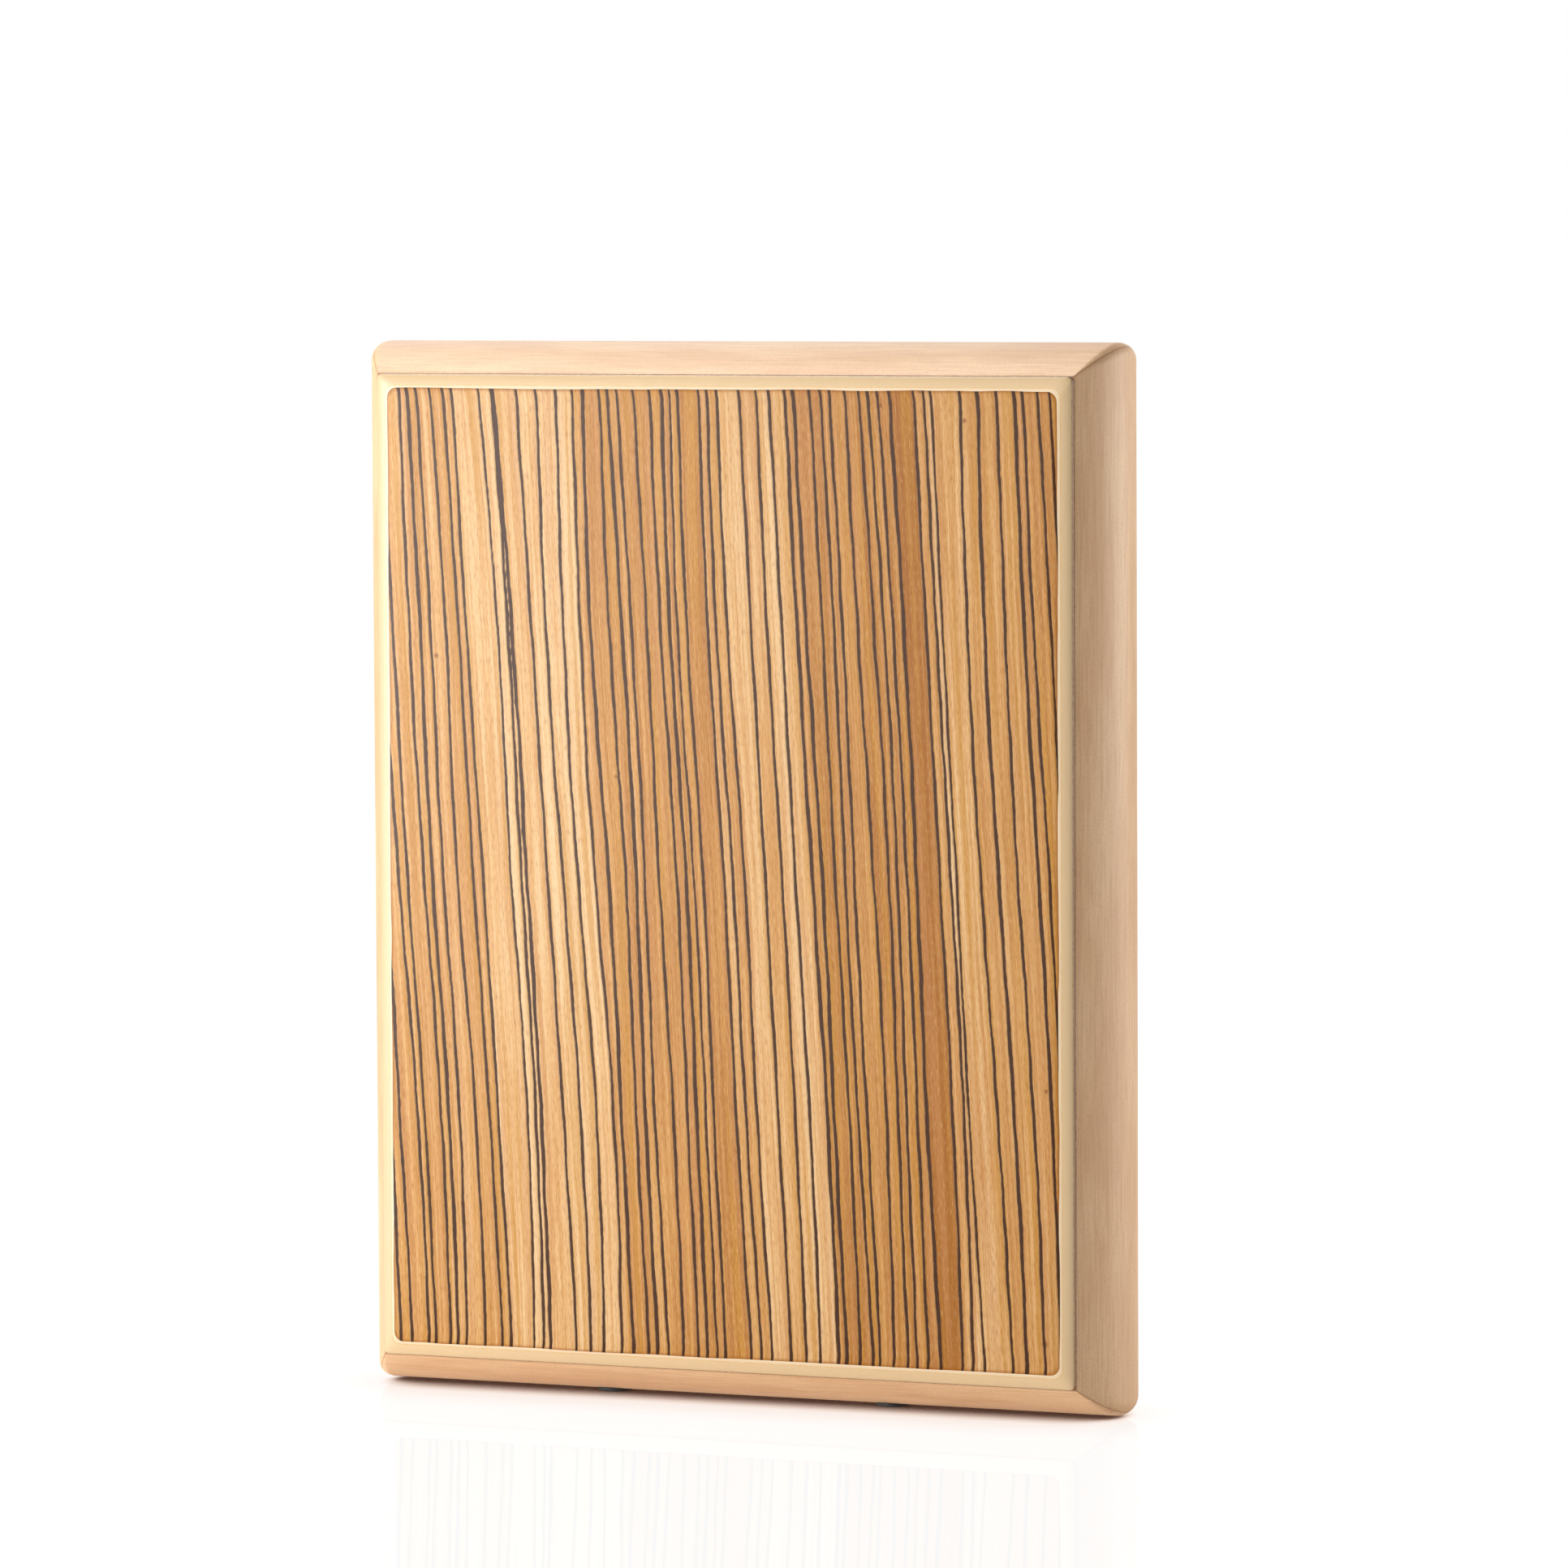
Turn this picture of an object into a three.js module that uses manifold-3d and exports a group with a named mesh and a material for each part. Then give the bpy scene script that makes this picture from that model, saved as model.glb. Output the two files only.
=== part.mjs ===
// Travel cajon: a slim box drum that stands on two rubber feet or is held across the lap.
// Four solid rails of one bullnosed section are mitred into a frame. A veneered plywood
// playing face is glued to its front and a plywood back with a sound hole to its rear.
// Snare wires on a cross bar lie behind the playing face.
// Lengths are millimetres: X across the face, Y from the face to the back, Z up from the floor.

import * as THREE from "three";
import { mergeVertices } from "three/addons/utils/BufferGeometryUtils.js";
import Module from "manifold-3d";

const wasm = await Module();
wasm.setup();

// Frame
const frameHeight = 450;
const frameWidth = 348.5;
const railDepth = 60;
const railLand = 14; // flat front and rear edge of a rail, from its inner face out to the panel's edge
const bullnoseRise = 13.6; // how far the rounded outer side stands out past the panel's edge
const bullnoseSteps = 16;
const glueLine = 0.2;

// Hidden splines across the mitres and the glue blocks behind them
const splineWidth = 16;
const splineThickness = 4;
const splineLength = 40;
const splineInset = 14; // along the mitre, from the inner corner to the middle of the spline
const splineClearance = 0.3;
const blockLeg = 24;
const blockTip = 3; // width of the flat that takes off a glue block's two thin edges
const blockEndGap = 1;

// Playing face, laid up from a plywood core and a striped veneer, and the plywood back
const coreThickness = 3;
const veneerThickness = 0.4;
const backThickness = 3.4;
const edgeLand = 0.5; // square part of a panel's edge, next to the frame
const edgeRoundWidth = 11.8; // how far the rounded edge reaches in over the panel's face
const edgeRoundSteps = 9;
const panelCorner = 2.5;
const faceCorner = 11.5; // the corners grow to this radius over the rounded edge
const cornerSteps = 6;

// Sound hole in the back
const soundHoleDiameter = 100;
const soundHoleHeight = 165; // centre above the floor
const soundHoleRound = 1.2;
const soundHoleSteps = 48;

// Rubber feet, let into the bottom rail
const footDiameter = 15;
const footProud = 1;
const footSeatDepth = 3;
const footSpacing = 130;
const footEdgeRound = 0.5;
const footRecessDiameter = 8;
const footRecessDepth = 1.6;
const footSteps = 32;

// Snare bar with its cleats
const barHeight = 28;
const barDepth = 14;
const barDrop = 150; // from the top rail's inner face down to the middle of the bar
const barEdge = 1.5;
const cleatHeight = 44;
const cleatWidth = 20;
const cleatDepth = 12;
const cleatChamfer = 4;

// Snare wires, their end plates and the felt strip that quietens them
const wireCount = 10;
const wireDiameter = 1.8;
const wirePitch = 4.2;
const wireLength = 116;
const wireLap = 6; // how far each wire lies over its plate
const wireToFace = 0.4;
const wireSteps = 8;
const solderDepth = 0.3; // how far a wire is sunk into its plate
const snareToRail = 74; // from a side rail's inner face to the middle of its wire set
const snareTilt = THREE.MathUtils.degToRad(6);
const plateHeight = 10;
const plateThickness = 1.2;
const plateLug = 9; // length of each screw lug, past the outermost wires
const plateDrop = 5; // middle of the plate below the middle of the bar
const feltHeight = 6;
const feltToWire = 0.1;
const feltEndGap = 24;

// Screws
const screwShank = 2.6;
const screwHead = 5.4;
const screwHeadHeight = 1.4;
const screwPoint = 2.5;
const screwSteps = 16;
const plateScrewLength = 10;
const footScrewLength = 14;
const cleatScrewLength = 20;

// Fits
const seatGap = 0.3; // between pieces that are glued or pressed together on turned faces
const screwClearance = 0.25;
const cutOverrun = 5;
const weldDistance = 0.001;

// Sizes that follow
const tapaThickness = coreThickness + veneerThickness;
const panelWidth = frameWidth - 2 * bullnoseRise;
const panelHeight = frameHeight - 2 * bullnoseRise;
const innerWidth = panelWidth - 2 * railLand;
const innerHeight = panelHeight - 2 * railLand;
const frontPlane = -railDepth / 2;
const backPlane = railDepth / 2;
const frameCentre = footProud + frameHeight / 2;
const quarterTurn = Math.PI / 2;
const eighthTurn = Math.PI / 4;
const sides = [
  ["left", -1],
  ["right", 1],
];

// Materials
const timber = new THREE.MeshStandardMaterial({ color: 0xe2bf99, roughness: 0.55, metalness: 0 });
const beech = new THREE.MeshStandardMaterial({ color: 0xc99a6b, roughness: 0.65, metalness: 0 });
const plywood = new THREE.MeshStandardMaterial({ color: 0xebdda8, roughness: 0.6, metalness: 0 });
const zebrano = new THREE.MeshStandardMaterial({ color: 0xd09a5c, roughness: 0.4, metalness: 0 });
const rubber = new THREE.MeshStandardMaterial({ color: 0x1c1b1a, roughness: 0.8, metalness: 0 });
const felt = new THREE.MeshStandardMaterial({ color: 0x2b2b2e, roughness: 1, metalness: 0 });
const steel = new THREE.MeshStandardMaterial({ color: 0xb9bcc0, roughness: 0.3, metalness: 1 });

// Closed geometry as a solid that can be joined and cut
function solidFrom(geometry) {
  const bare = geometry.clone();
  bare.deleteAttribute("normal");
  bare.deleteAttribute("uv");
  const merged = mergeVertices(bare, weldDistance);
  const vertProperties = merged.attributes.position.array;
  const triVerts = new Uint32Array(merged.index.array);
  return new wasm.Manifold(new wasm.Mesh({ numProp: 3, vertProperties, triVerts }));
}

// Solid as flat shaded geometry
function geometryFrom(solid) {
  const mesh = solid.getMesh();
  const indexed = new THREE.BufferGeometry();
  indexed.setAttribute("position", new THREE.BufferAttribute(mesh.vertProperties, 3));
  indexed.setIndex(new THREE.BufferAttribute(mesh.triVerts, 1));
  const geometry = indexed.toNonIndexed();
  geometry.computeVertexNormals();
  return geometry;
}

function cut(geometry, cutters) {
  const rest = cutters.reduce((solid, cutter) => solid.subtract(solidFrom(cutter)), solidFrom(geometry));
  return geometryFrom(rest);
}

function named(name, geometry, material) {
  const mesh = new THREE.Mesh(geometry, material);
  mesh.name = name;
  return mesh;
}

// Outline drawn in X and Z, given a length along Y on both sides of the XZ plane
function alongDepth(shape, length, curveSegments = 1) {
  const geometry = new THREE.ExtrudeGeometry(shape, { depth: length, bevelEnabled: false, curveSegments });
  return geometry.translate(0, 0, -length / 2).rotateX(quarterTurn);
}

function rod(diameter, length, steps) {
  return new THREE.CylinderGeometry(diameter / 2, diameter / 2, length, steps);
}

function upright(geometry) {
  return geometry.rotateX(quarterTurn);
}

function outline(points) {
  return new THREE.Shape(points.map(([across, up]) => new THREE.Vector2(across, up)));
}

// Rails
// The section has a flat inner face and flat edges. Its outer side is one parabolic curve from
// the front edge to the rear one, whose control point lies twice the rise out.
function railSection() {
  const section = new THREE.Shape();
  section.moveTo(frontPlane, -railLand);
  section.lineTo(backPlane, -railLand);
  section.lineTo(backPlane, 0);
  section.quadraticCurveTo(0, 2 * bullnoseRise, frontPlane, 0);
  section.closePath();
  return section;
}

// A rail lies along X with its outer side up and its height zero at the panel's edge.
function railBlank(panelLength) {
  const length = panelLength + 2 * bullnoseRise;
  const blank = new THREE.ExtrudeGeometry(railSection(), {
    depth: length,
    bevelEnabled: false,
    curveSegments: bullnoseSteps,
  });
  const alongX = new THREE.Matrix4().makeBasis(
    new THREE.Vector3(0, 1, 0),
    new THREE.Vector3(0, 0, 1),
    new THREE.Vector3(1, 0, 0),
  );
  return blank.translate(0, 0, -length / 2).applyMatrix4(alongX);
}

// Everything between the two mitre planes of a rail, each set back by half a glue line
function mitreKeep(panelLength) {
  const low = -railLand - cutOverrun;
  const high = bullnoseRise + cutOverrun;
  const reach = panelLength / 2 - (glueLine / 2) * Math.SQRT2;
  const corners = [
    [-reach - low, low],
    [reach + low, low],
    [reach + high, high],
    [-reach - high, high],
  ];
  return alongDepth(outline(corners), railDepth + 2 * cutOverrun);
}

// A spline lies square across a mitre. Sides give the corner that it belongs to.
function splineAt(width, height, sideX, sideZ, clearance) {
  const spline = new THREE.BoxGeometry(
    splineWidth + 2 * clearance,
    splineLength + 2 * clearance,
    splineThickness + 2 * clearance,
  );
  const along = splineInset * Math.SQRT1_2;
  const cornerX = sideX * (width / 2 - railLand + along);
  const cornerZ = sideZ * (height / 2 - railLand + along);
  return spline.rotateY(sideX * sideZ * eighthTurn).translate(cornerX, 0, cornerZ);
}

function rail(panelLength, cutters) {
  const kept = solidFrom(railBlank(panelLength)).intersect(solidFrom(mitreKeep(panelLength)));
  const slots = [-1, 1].map((side) => splineAt(panelLength, 0, side, 1, splineClearance));
  return cut(geometryFrom(kept), [...slots, ...cutters]);
}

// Bores in the bottom rail for the two feet and their screws
function footCutters() {
  const boreLength = footSeatDepth + cutOverrun;
  const bore = upright(rod(footDiameter + 2 * seatGap, boreLength, footSteps));
  bore.translate(0, 0, bullnoseRise - footSeatDepth + boreLength / 2);
  const pilotLength = footScrewLength + screwClearance;
  const pilot = upright(rod(screwShank + 2 * screwClearance, pilotLength, screwSteps));
  pilot.translate(0, 0, bullnoseRise + footProud - footRecessDepth - pilotLength / 2);
  const cutters = [];
  for (const side of [-1, 1]) {
    const across = (side * footSpacing) / 2;
    cutters.push(bore.clone().translate(across, 0, 0));
    cutters.push(pilot.clone().translate(across, 0, 0));
  }
  return cutters;
}

function addRails(frame) {
  const rails = [
    ["top_rail", panelWidth, panelHeight, 0, []],
    ["bottom_rail", panelWidth, panelHeight, 2 * quarterTurn, footCutters()],
    ["right_rail", panelHeight, panelWidth, quarterTurn, []],
    ["left_rail", panelHeight, panelWidth, -quarterTurn, []],
  ];
  for (const [name, length, span, turn, cutters] of rails) {
    const mesh = named(name, rail(length, cutters), timber);
    mesh.rotation.y = turn;
    mesh.position.set((Math.sin(turn) * span) / 2, 0, (Math.cos(turn) * span) / 2);
    frame.add(mesh);
  }
}

// Corner joinery
const cornerNames = [
  ["top_left", -1, 1],
  ["top_right", 1, 1],
  ["bottom_left", -1, -1],
  ["bottom_right", 1, -1],
];

function glueBlock() {
  const block = outline([
    [0, 0],
    [blockLeg, 0],
    [blockLeg, blockTip],
    [blockTip, blockLeg],
    [0, blockLeg],
  ]);
  return alongDepth(block, railDepth - 2 * blockEndGap);
}

function addCorners(frame) {
  const turns = { top_left: 2, top_right: 1, bottom_left: 3, bottom_right: 0 };
  for (const [corner, sideX, sideZ] of cornerNames) {
    const spline = splineAt(panelWidth, panelHeight, sideX, sideZ, 0);
    frame.add(named(`spline_${corner}`, spline, beech));
    const block = named(`glue_block_${corner}`, glueBlock(), beech);
    block.position.set(sideX * (innerWidth / 2 - seatGap), 0, sideZ * (innerHeight / 2 - seatGap));
    block.rotation.y = -quarterTurn * (turns[corner] + 1);
    frame.add(block);
  }
}

// Panels
// One ring of a panel's edge: a rectangle with rounded corners, drawn in by an inset
function panelRing(inset, depth) {
  const corner = panelCorner + (faceCorner - panelCorner) * (inset / edgeRoundWidth);
  const centreX = panelWidth / 2 - inset - corner;
  const centreZ = panelHeight / 2 - inset - corner;
  const ring = [];
  for (let quarter = 0; quarter < 4; quarter += 1) {
    const signX = quarter === 0 || quarter === 3 ? 1 : -1;
    const signZ = quarter < 2 ? 1 : -1;
    for (let step = 0; step <= cornerSteps; step += 1) {
      const angle = quarterTurn * (quarter + step / cornerSteps);
      const x = signX * centreX + corner * Math.cos(angle);
      const z = signZ * centreZ + corner * Math.sin(angle);
      ring.push(new THREE.Vector3(x, depth, z));
    }
  }
  return ring;
}

// Rings joined into a closed skin, with a fan over the first and the last one
function loft(rings) {
  const positions = rings.flat();
  const count = rings[0].length;
  const indices = [];
  for (let level = 0; level + 1 < rings.length; level += 1) {
    for (let step = 0; step < count; step += 1) {
      const a = level * count + step;
      const b = level * count + ((step + 1) % count);
      indices.push(a, b, a + count, b, b + count, a + count);
    }
  }
  const last = positions.length - count;
  for (let step = 1; step + 1 < count; step += 1) {
    indices.push(0, step + 1, step);
    indices.push(last, last + step, last + step + 1);
  }
  const geometry = new THREE.BufferGeometry().setFromPoints(positions);
  geometry.setIndex(indices);
  return geometry;
}

// A panel grows from the frame towards its outer face. Past the square land, its edge is a
// quarter of an ellipse that ends level with the face.
function panel(thickness) {
  const rings = [panelRing(0, 0)];
  for (let step = 0; step <= edgeRoundSteps; step += 1) {
    const angle = (quarterTurn * step) / edgeRoundSteps;
    const inset = edgeRoundWidth * (1 - Math.cos(angle));
    const height = edgeLand + (thickness - edgeLand) * Math.sin(angle);
    rings.push(panelRing(inset, -height));
  }
  return loft(rings);
}

function layer(from, to) {
  const slab = new THREE.BoxGeometry(panelWidth + cutOverrun, to - from, panelHeight + cutOverrun);
  return solidFrom(slab.translate(0, -(from + to) / 2, 0));
}

function addPlayingFace(frame) {
  const board = solidFrom(panel(tapaThickness));
  const core = geometryFrom(board.intersect(layer(-cutOverrun, coreThickness)));
  const veneer = geometryFrom(board.intersect(layer(coreThickness, tapaThickness + cutOverrun)));
  for (const [name, geometry, material] of [
    ["tapa_core", core, plywood],
    ["tapa_veneer", veneer, zebrano],
  ]) {
    const mesh = named(name, geometry, material);
    mesh.position.y = frontPlane;
    frame.add(mesh);
  }
}

// Cutter for the sound hole: a plain bore whose mouth flares by a quarter round at the outer face
function soundHoleCutter() {
  const radius = soundHoleDiameter / 2;
  const mouth = -backThickness + soundHoleRound;
  const profile = [new THREE.Vector2(0, cutOverrun), new THREE.Vector2(radius, cutOverrun)];
  const roundSteps = cornerSteps / 2;
  for (let step = 0; step <= roundSteps; step += 1) {
    const angle = (quarterTurn * step) / roundSteps;
    const flare = soundHoleRound * (1 - Math.cos(angle));
    profile.push(new THREE.Vector2(radius + flare, mouth - soundHoleRound * Math.sin(angle)));
  }
  const end = -backThickness - cutOverrun;
  profile.push(new THREE.Vector2(radius + soundHoleRound, end), new THREE.Vector2(0, end));
  return new THREE.LatheGeometry(profile.reverse(), soundHoleSteps);
}

function addBack(frame) {
  const hole = soundHoleCutter().translate(0, 0, soundHoleHeight - frameCentre);
  const back = named("back_panel", cut(panel(backThickness), [hole]), plywood);
  back.rotation.z = 2 * quarterTurn;
  back.position.y = backPlane;
  frame.add(back);
}

// Screws
// A round head under a shank with a pointed end. The head's seat is at zero and the point is up.
function screw(length) {
  const head = screwHead / 2;
  const shank = screwShank / 2;
  const points = [
    [0, -screwHeadHeight],
    [shank, -screwHeadHeight],
    [head, -screwHeadHeight / 2],
    [head, 0],
    [shank, 0],
    [shank, length - screwPoint],
    [0, length],
  ];
  return new THREE.LatheGeometry(
    points.map(([radius, along]) => new THREE.Vector2(radius, along)),
    screwSteps,
  );
}

function addFeet(cajon) {
  const radius = footDiameter / 2;
  const hole = screwShank / 2 + screwClearance;
  const recess = footRecessDiameter / 2;
  const top = footProud + footSeatDepth - seatGap;
  const profile = [
    [hole, top],
    [hole, footRecessDepth],
    [recess, footRecessDepth],
    [recess, 0],
    [radius - footEdgeRound, 0],
    [radius, footEdgeRound],
    [radius, top],
    [hole, top],
  ];
  const foot = upright(
    new THREE.LatheGeometry(
      profile.map(([across, up]) => new THREE.Vector2(across, up)),
      footSteps,
    ),
  );
  for (const [word, side] of sides) {
    const across = (side * footSpacing) / 2;
    const footMesh = named(`foot_${word}`, foot.clone(), rubber);
    footMesh.position.x = across;
    cajon.add(footMesh);
    const screwMesh = named(`foot_screw_${word}`, upright(screw(footScrewLength)), steel);
    screwMesh.position.set(across, 0, footRecessDepth);
    cajon.add(screwMesh);
  }
}

// Snare
const barMiddle = innerHeight / 2 - barDrop;
const plateFront = frontPlane + wireToFace + wireDiameter - solderDepth;
const barFront = plateFront + plateThickness;
const barBack = barFront + barDepth;
const snareOffset = innerWidth / 2 - snareToRail;
const wireFanWidth = (wireCount - 1) * wirePitch;
const plateWidth = wireFanWidth + wireDiameter + 2 * plateLug;
const lugMiddle = (plateWidth - plateLug) / 2;
const feltThickness = plateThickness - solderDepth - feltToWire;

// Places of one snare set's two screws, in the frame
function plateScrewPlaces(side) {
  const middle = new THREE.Vector3(side * snareOffset, plateFront, barMiddle - plateDrop);
  const axis = new THREE.Vector3(0, 1, 0);
  return [-1, 1].map((lug) => {
    const arm = new THREE.Vector3(lug * lugMiddle, 0, 0).applyAxisAngle(axis, side * snareTilt);
    return arm.add(middle);
  });
}

function cleatScrewPlace(side) {
  return new THREE.Vector3(side * (innerWidth / 2 - seatGap - cleatWidth / 2), barBack + cleatDepth, barMiddle);
}

function addSnareBar(frame) {
  const height = barHeight / 2;
  const section = outline([
    [-height, barEdge - barDepth / 2],
    [barEdge - height, -barDepth / 2],
    [height - barEdge, -barDepth / 2],
    [height, barEdge - barDepth / 2],
    [height, barDepth / 2],
    [-height, barDepth / 2],
  ]);
  const length = innerWidth - 2 * seatGap;
  const blank = new THREE.ExtrudeGeometry(section, { depth: length, bevelEnabled: false });
  const alongX = new THREE.Matrix4().makeBasis(
    new THREE.Vector3(0, 0, 1),
    new THREE.Vector3(0, 1, 0),
    new THREE.Vector3(-1, 0, 0),
  );
  blank.translate(0, 0, -length / 2).applyMatrix4(alongX);
  blank.translate(0, (barFront + barBack) / 2, barMiddle);

  const pilotDiameter = screwShank + 2 * screwClearance;
  const cutters = [];
  for (const side of [-1, 1]) {
    for (const place of plateScrewPlaces(side)) {
      const reach = plateScrewLength + screwClearance;
      cutters.push(rod(pilotDiameter, reach, screwSteps).translate(place.x, place.y + reach / 2, place.z));
    }
    const place = cleatScrewPlace(side);
    const reach = cleatScrewLength + screwClearance;
    cutters.push(rod(pilotDiameter, reach, screwSteps).translate(place.x, place.y - reach / 2, place.z));
  }
  frame.add(named("snare_bar", cut(blank, cutters), beech));
}

// Cleats on the side rails carry the ends of the bar, each with one screw from behind
function addCleats(frame) {
  for (const [word, side] of sides) {
    const half = cleatHeight / 2;
    const inner = -side * cleatWidth;
    const shape = outline([
      [0, -half],
      [0, half],
      [inner + side * cleatChamfer, half],
      [inner, half - cleatChamfer],
      [inner, cleatChamfer - half],
      [inner + side * cleatChamfer, -half],
    ]);
    const block = alongDepth(shape, cleatDepth);
    block.translate(side * (innerWidth / 2 - seatGap), barBack + cleatDepth / 2, barMiddle);
    const place = cleatScrewPlace(side);
    const hole = rod(screwShank + 2 * screwClearance, cleatDepth + 2 * cutOverrun, screwSteps);
    hole.translate(place.x, place.y - cleatDepth / 2, place.z);
    frame.add(named(`snare_cleat_${word}`, cut(block, [hole]), beech));
    const screwMesh = named(`cleat_screw_${word}`, screw(cleatScrewLength), steel);
    screwMesh.rotation.x = 2 * quarterTurn;
    screwMesh.position.copy(place);
    frame.add(screwMesh);
  }
}

// One snare set: an end plate with a row of wires soldered into its front. The plate's front
// is at depth zero and its middle is the origin.
function snareSet() {
  const plate = new THREE.BoxGeometry(plateWidth, plateThickness, plateHeight);
  plate.translate(0, plateThickness / 2, 0);
  const holes = [-1, 1].map((lug) => {
    const hole = rod(screwShank + 2 * screwClearance, plateThickness + 2 * cutOverrun, screwSteps);
    return hole.translate(lug * lugMiddle, 0, 0);
  });
  let set = solidFrom(cut(plate, holes));
  for (let wire = 0; wire < wireCount; wire += 1) {
    const strand = upright(rod(wireDiameter, wireLength, wireSteps));
    const across = wire * wirePitch - wireFanWidth / 2;
    const up = plateHeight / 2 - wireLap + wireLength / 2;
    strand.translate(across, solderDepth - wireDiameter / 2, up);
    set = set.add(solidFrom(strand));
  }
  return geometryFrom(set);
}

function addSnares(frame) {
  const set = snareSet();
  for (const [word, side] of sides) {
    const setMesh = named(`snare_set_${word}`, set.clone(), steel);
    setMesh.position.set(side * snareOffset, plateFront, barMiddle - plateDrop);
    setMesh.rotation.y = side * snareTilt;
    frame.add(setMesh);
    plateScrewPlaces(side).forEach((place, index) => {
      const lug = sides[index][0];
      const screwMesh = named(`snare_screw_${word}_${lug}`, screw(plateScrewLength), steel);
      screwMesh.position.copy(place);
      frame.add(screwMesh);
    });
  }

  const strip = new THREE.BoxGeometry(innerWidth - 2 * feltEndGap, feltThickness, feltHeight);
  const stripUp = barMiddle + barHeight / 2 - barEdge - feltHeight / 2;
  strip.translate(0, barFront - feltThickness / 2, stripUp);
  frame.add(named("snare_felt", strip, felt));
}

const frame = new THREE.Group();
frame.position.z = frameCentre;
addRails(frame);
addCorners(frame);
addPlayingFace(frame);
addBack(frame);
addSnareBar(frame);
addCleats(frame);
addSnares(frame);

// The origin is on the floor, midway between the outer faces of the two panels.
const cajon = new THREE.Group();
cajon.add(frame);
addFeet(cajon);
for (const part of cajon.children) {
  part.position.y += (tapaThickness - backThickness) / 2;
}

export default cajon;
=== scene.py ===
# Travel cajon: finishes and fine surfaces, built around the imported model.
# Metres: X across the playing face, Y from the playing face to the back, Z up from the floor.
import math

import bmesh
import bpy
import numpy as np
from mathutils import Matrix, Vector


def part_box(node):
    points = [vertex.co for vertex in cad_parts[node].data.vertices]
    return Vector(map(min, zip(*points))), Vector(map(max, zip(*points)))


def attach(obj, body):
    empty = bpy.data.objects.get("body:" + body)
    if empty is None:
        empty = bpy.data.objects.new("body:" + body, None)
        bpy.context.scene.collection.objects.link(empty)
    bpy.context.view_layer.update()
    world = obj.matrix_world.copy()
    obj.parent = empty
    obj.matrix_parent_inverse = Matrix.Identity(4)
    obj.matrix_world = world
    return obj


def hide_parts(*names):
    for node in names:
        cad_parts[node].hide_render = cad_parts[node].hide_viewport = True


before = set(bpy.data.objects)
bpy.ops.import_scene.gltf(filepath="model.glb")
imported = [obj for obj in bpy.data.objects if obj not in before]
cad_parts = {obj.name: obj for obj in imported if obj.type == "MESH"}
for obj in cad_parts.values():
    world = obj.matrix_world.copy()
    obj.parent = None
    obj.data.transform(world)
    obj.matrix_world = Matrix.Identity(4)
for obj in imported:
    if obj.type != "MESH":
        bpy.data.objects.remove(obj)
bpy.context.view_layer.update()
mm = 0.001


# Camera at the photograph's viewing angle
cameraView = {
    "place": (1.524, -3.420, 0.516),
    "yaw": 23.80,  # degrees, from facing the playing face towards its right side
    "pitch": 3.87,  # degrees down
    "roll": -0.27,
    "lens": 202.4,
    "sensor": 36.0,
}


def addCamera(view):
    data = bpy.data.cameras.new("camera")
    data.lens = view["lens"]
    data.sensor_width = view["sensor"]
    data.clip_end = 60
    camera = bpy.data.objects.new("camera", data)
    turn = Matrix.Rotation(math.radians(view["yaw"]), 4, "Z")
    tilt = Matrix.Rotation(math.radians(90 - view["pitch"]), 4, "X")
    roll = Matrix.Rotation(math.radians(view["roll"]), 4, "Z")
    camera.matrix_world = Matrix.Translation(view["place"]) @ turn @ tilt @ roll
    bpy.context.scene.collection.objects.link(camera)
    bpy.context.scene.camera = camera


addCamera(cameraView)
print("camera placed")


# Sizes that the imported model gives
railBox = {side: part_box(f"{side}_rail") for side in ("top", "bottom", "left", "right")}
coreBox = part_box("tapa_core")
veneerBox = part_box("tapa_veneer")
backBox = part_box("back_panel")
halfWidth = coreBox[1].x
halfHeight = (coreBox[1].z - coreBox[0].z) / 2
middle = (coreBox[1].z + coreBox[0].z) / 2  # height of the drum's middle above the floor
halfDepth = railBox["top"][1].y
rise = railBox["right"][1].x - halfWidth  # how far the bullnose stands out past a panel
land = halfWidth - railBox["right"][0].x
tapaThickness = coreBox[1].y - veneerBox[0].y
coreThickness = coreBox[1].y - coreBox[0].y


# Mesh tools
# Quads of a grid whose point (i, j) is number i * columns + j. Wrapping joins the last line to the first.
def gridQuads(rows, columns, wrapRows=False, wrapColumns=False):
    i = np.arange(rows if wrapRows else rows - 1)[:, None]
    j = np.arange(columns if wrapColumns else columns - 1)[None, :]
    nextI = (i + 1) % rows
    nextJ = (j + 1) % columns
    corners = [i * columns + j, i * columns + nextJ, nextI * columns + nextJ, nextI * columns + j]
    return np.stack(np.broadcast_arrays(*corners), axis=-1).reshape(-1, 4)


# Triangles from every edge of a closed ring of points to one centre point
def fanTriangles(ring, centre):
    return np.stack([ring, np.roll(ring, -1), np.full(len(ring), centre)], axis=-1)


# A closed skin over rings of points, with both open ends drawn together to a middle point
def closedSkin(rings, middles):
    rings = np.asarray(rings)
    count = rings.shape[1]
    body = len(rings) * count
    ring = np.arange(count)
    faces = [
        gridQuads(len(rings), count, wrapColumns=True),
        fanTriangles(ring, body),
        fanTriangles(ring + body - count, body + 1),
    ]
    return np.concatenate([rings.reshape(-1, 3), middles]), faces


# One shape from several (points, faces) pairs
def joinShapes(shapes):
    points, faces, count = [], [], 0
    for shapePoints, shapeFaces in shapes:
        points.append(shapePoints)
        faces += [(block + count) for block in shapeFaces]
        count += len(shapePoints)
    return np.concatenate(points), faces


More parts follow.
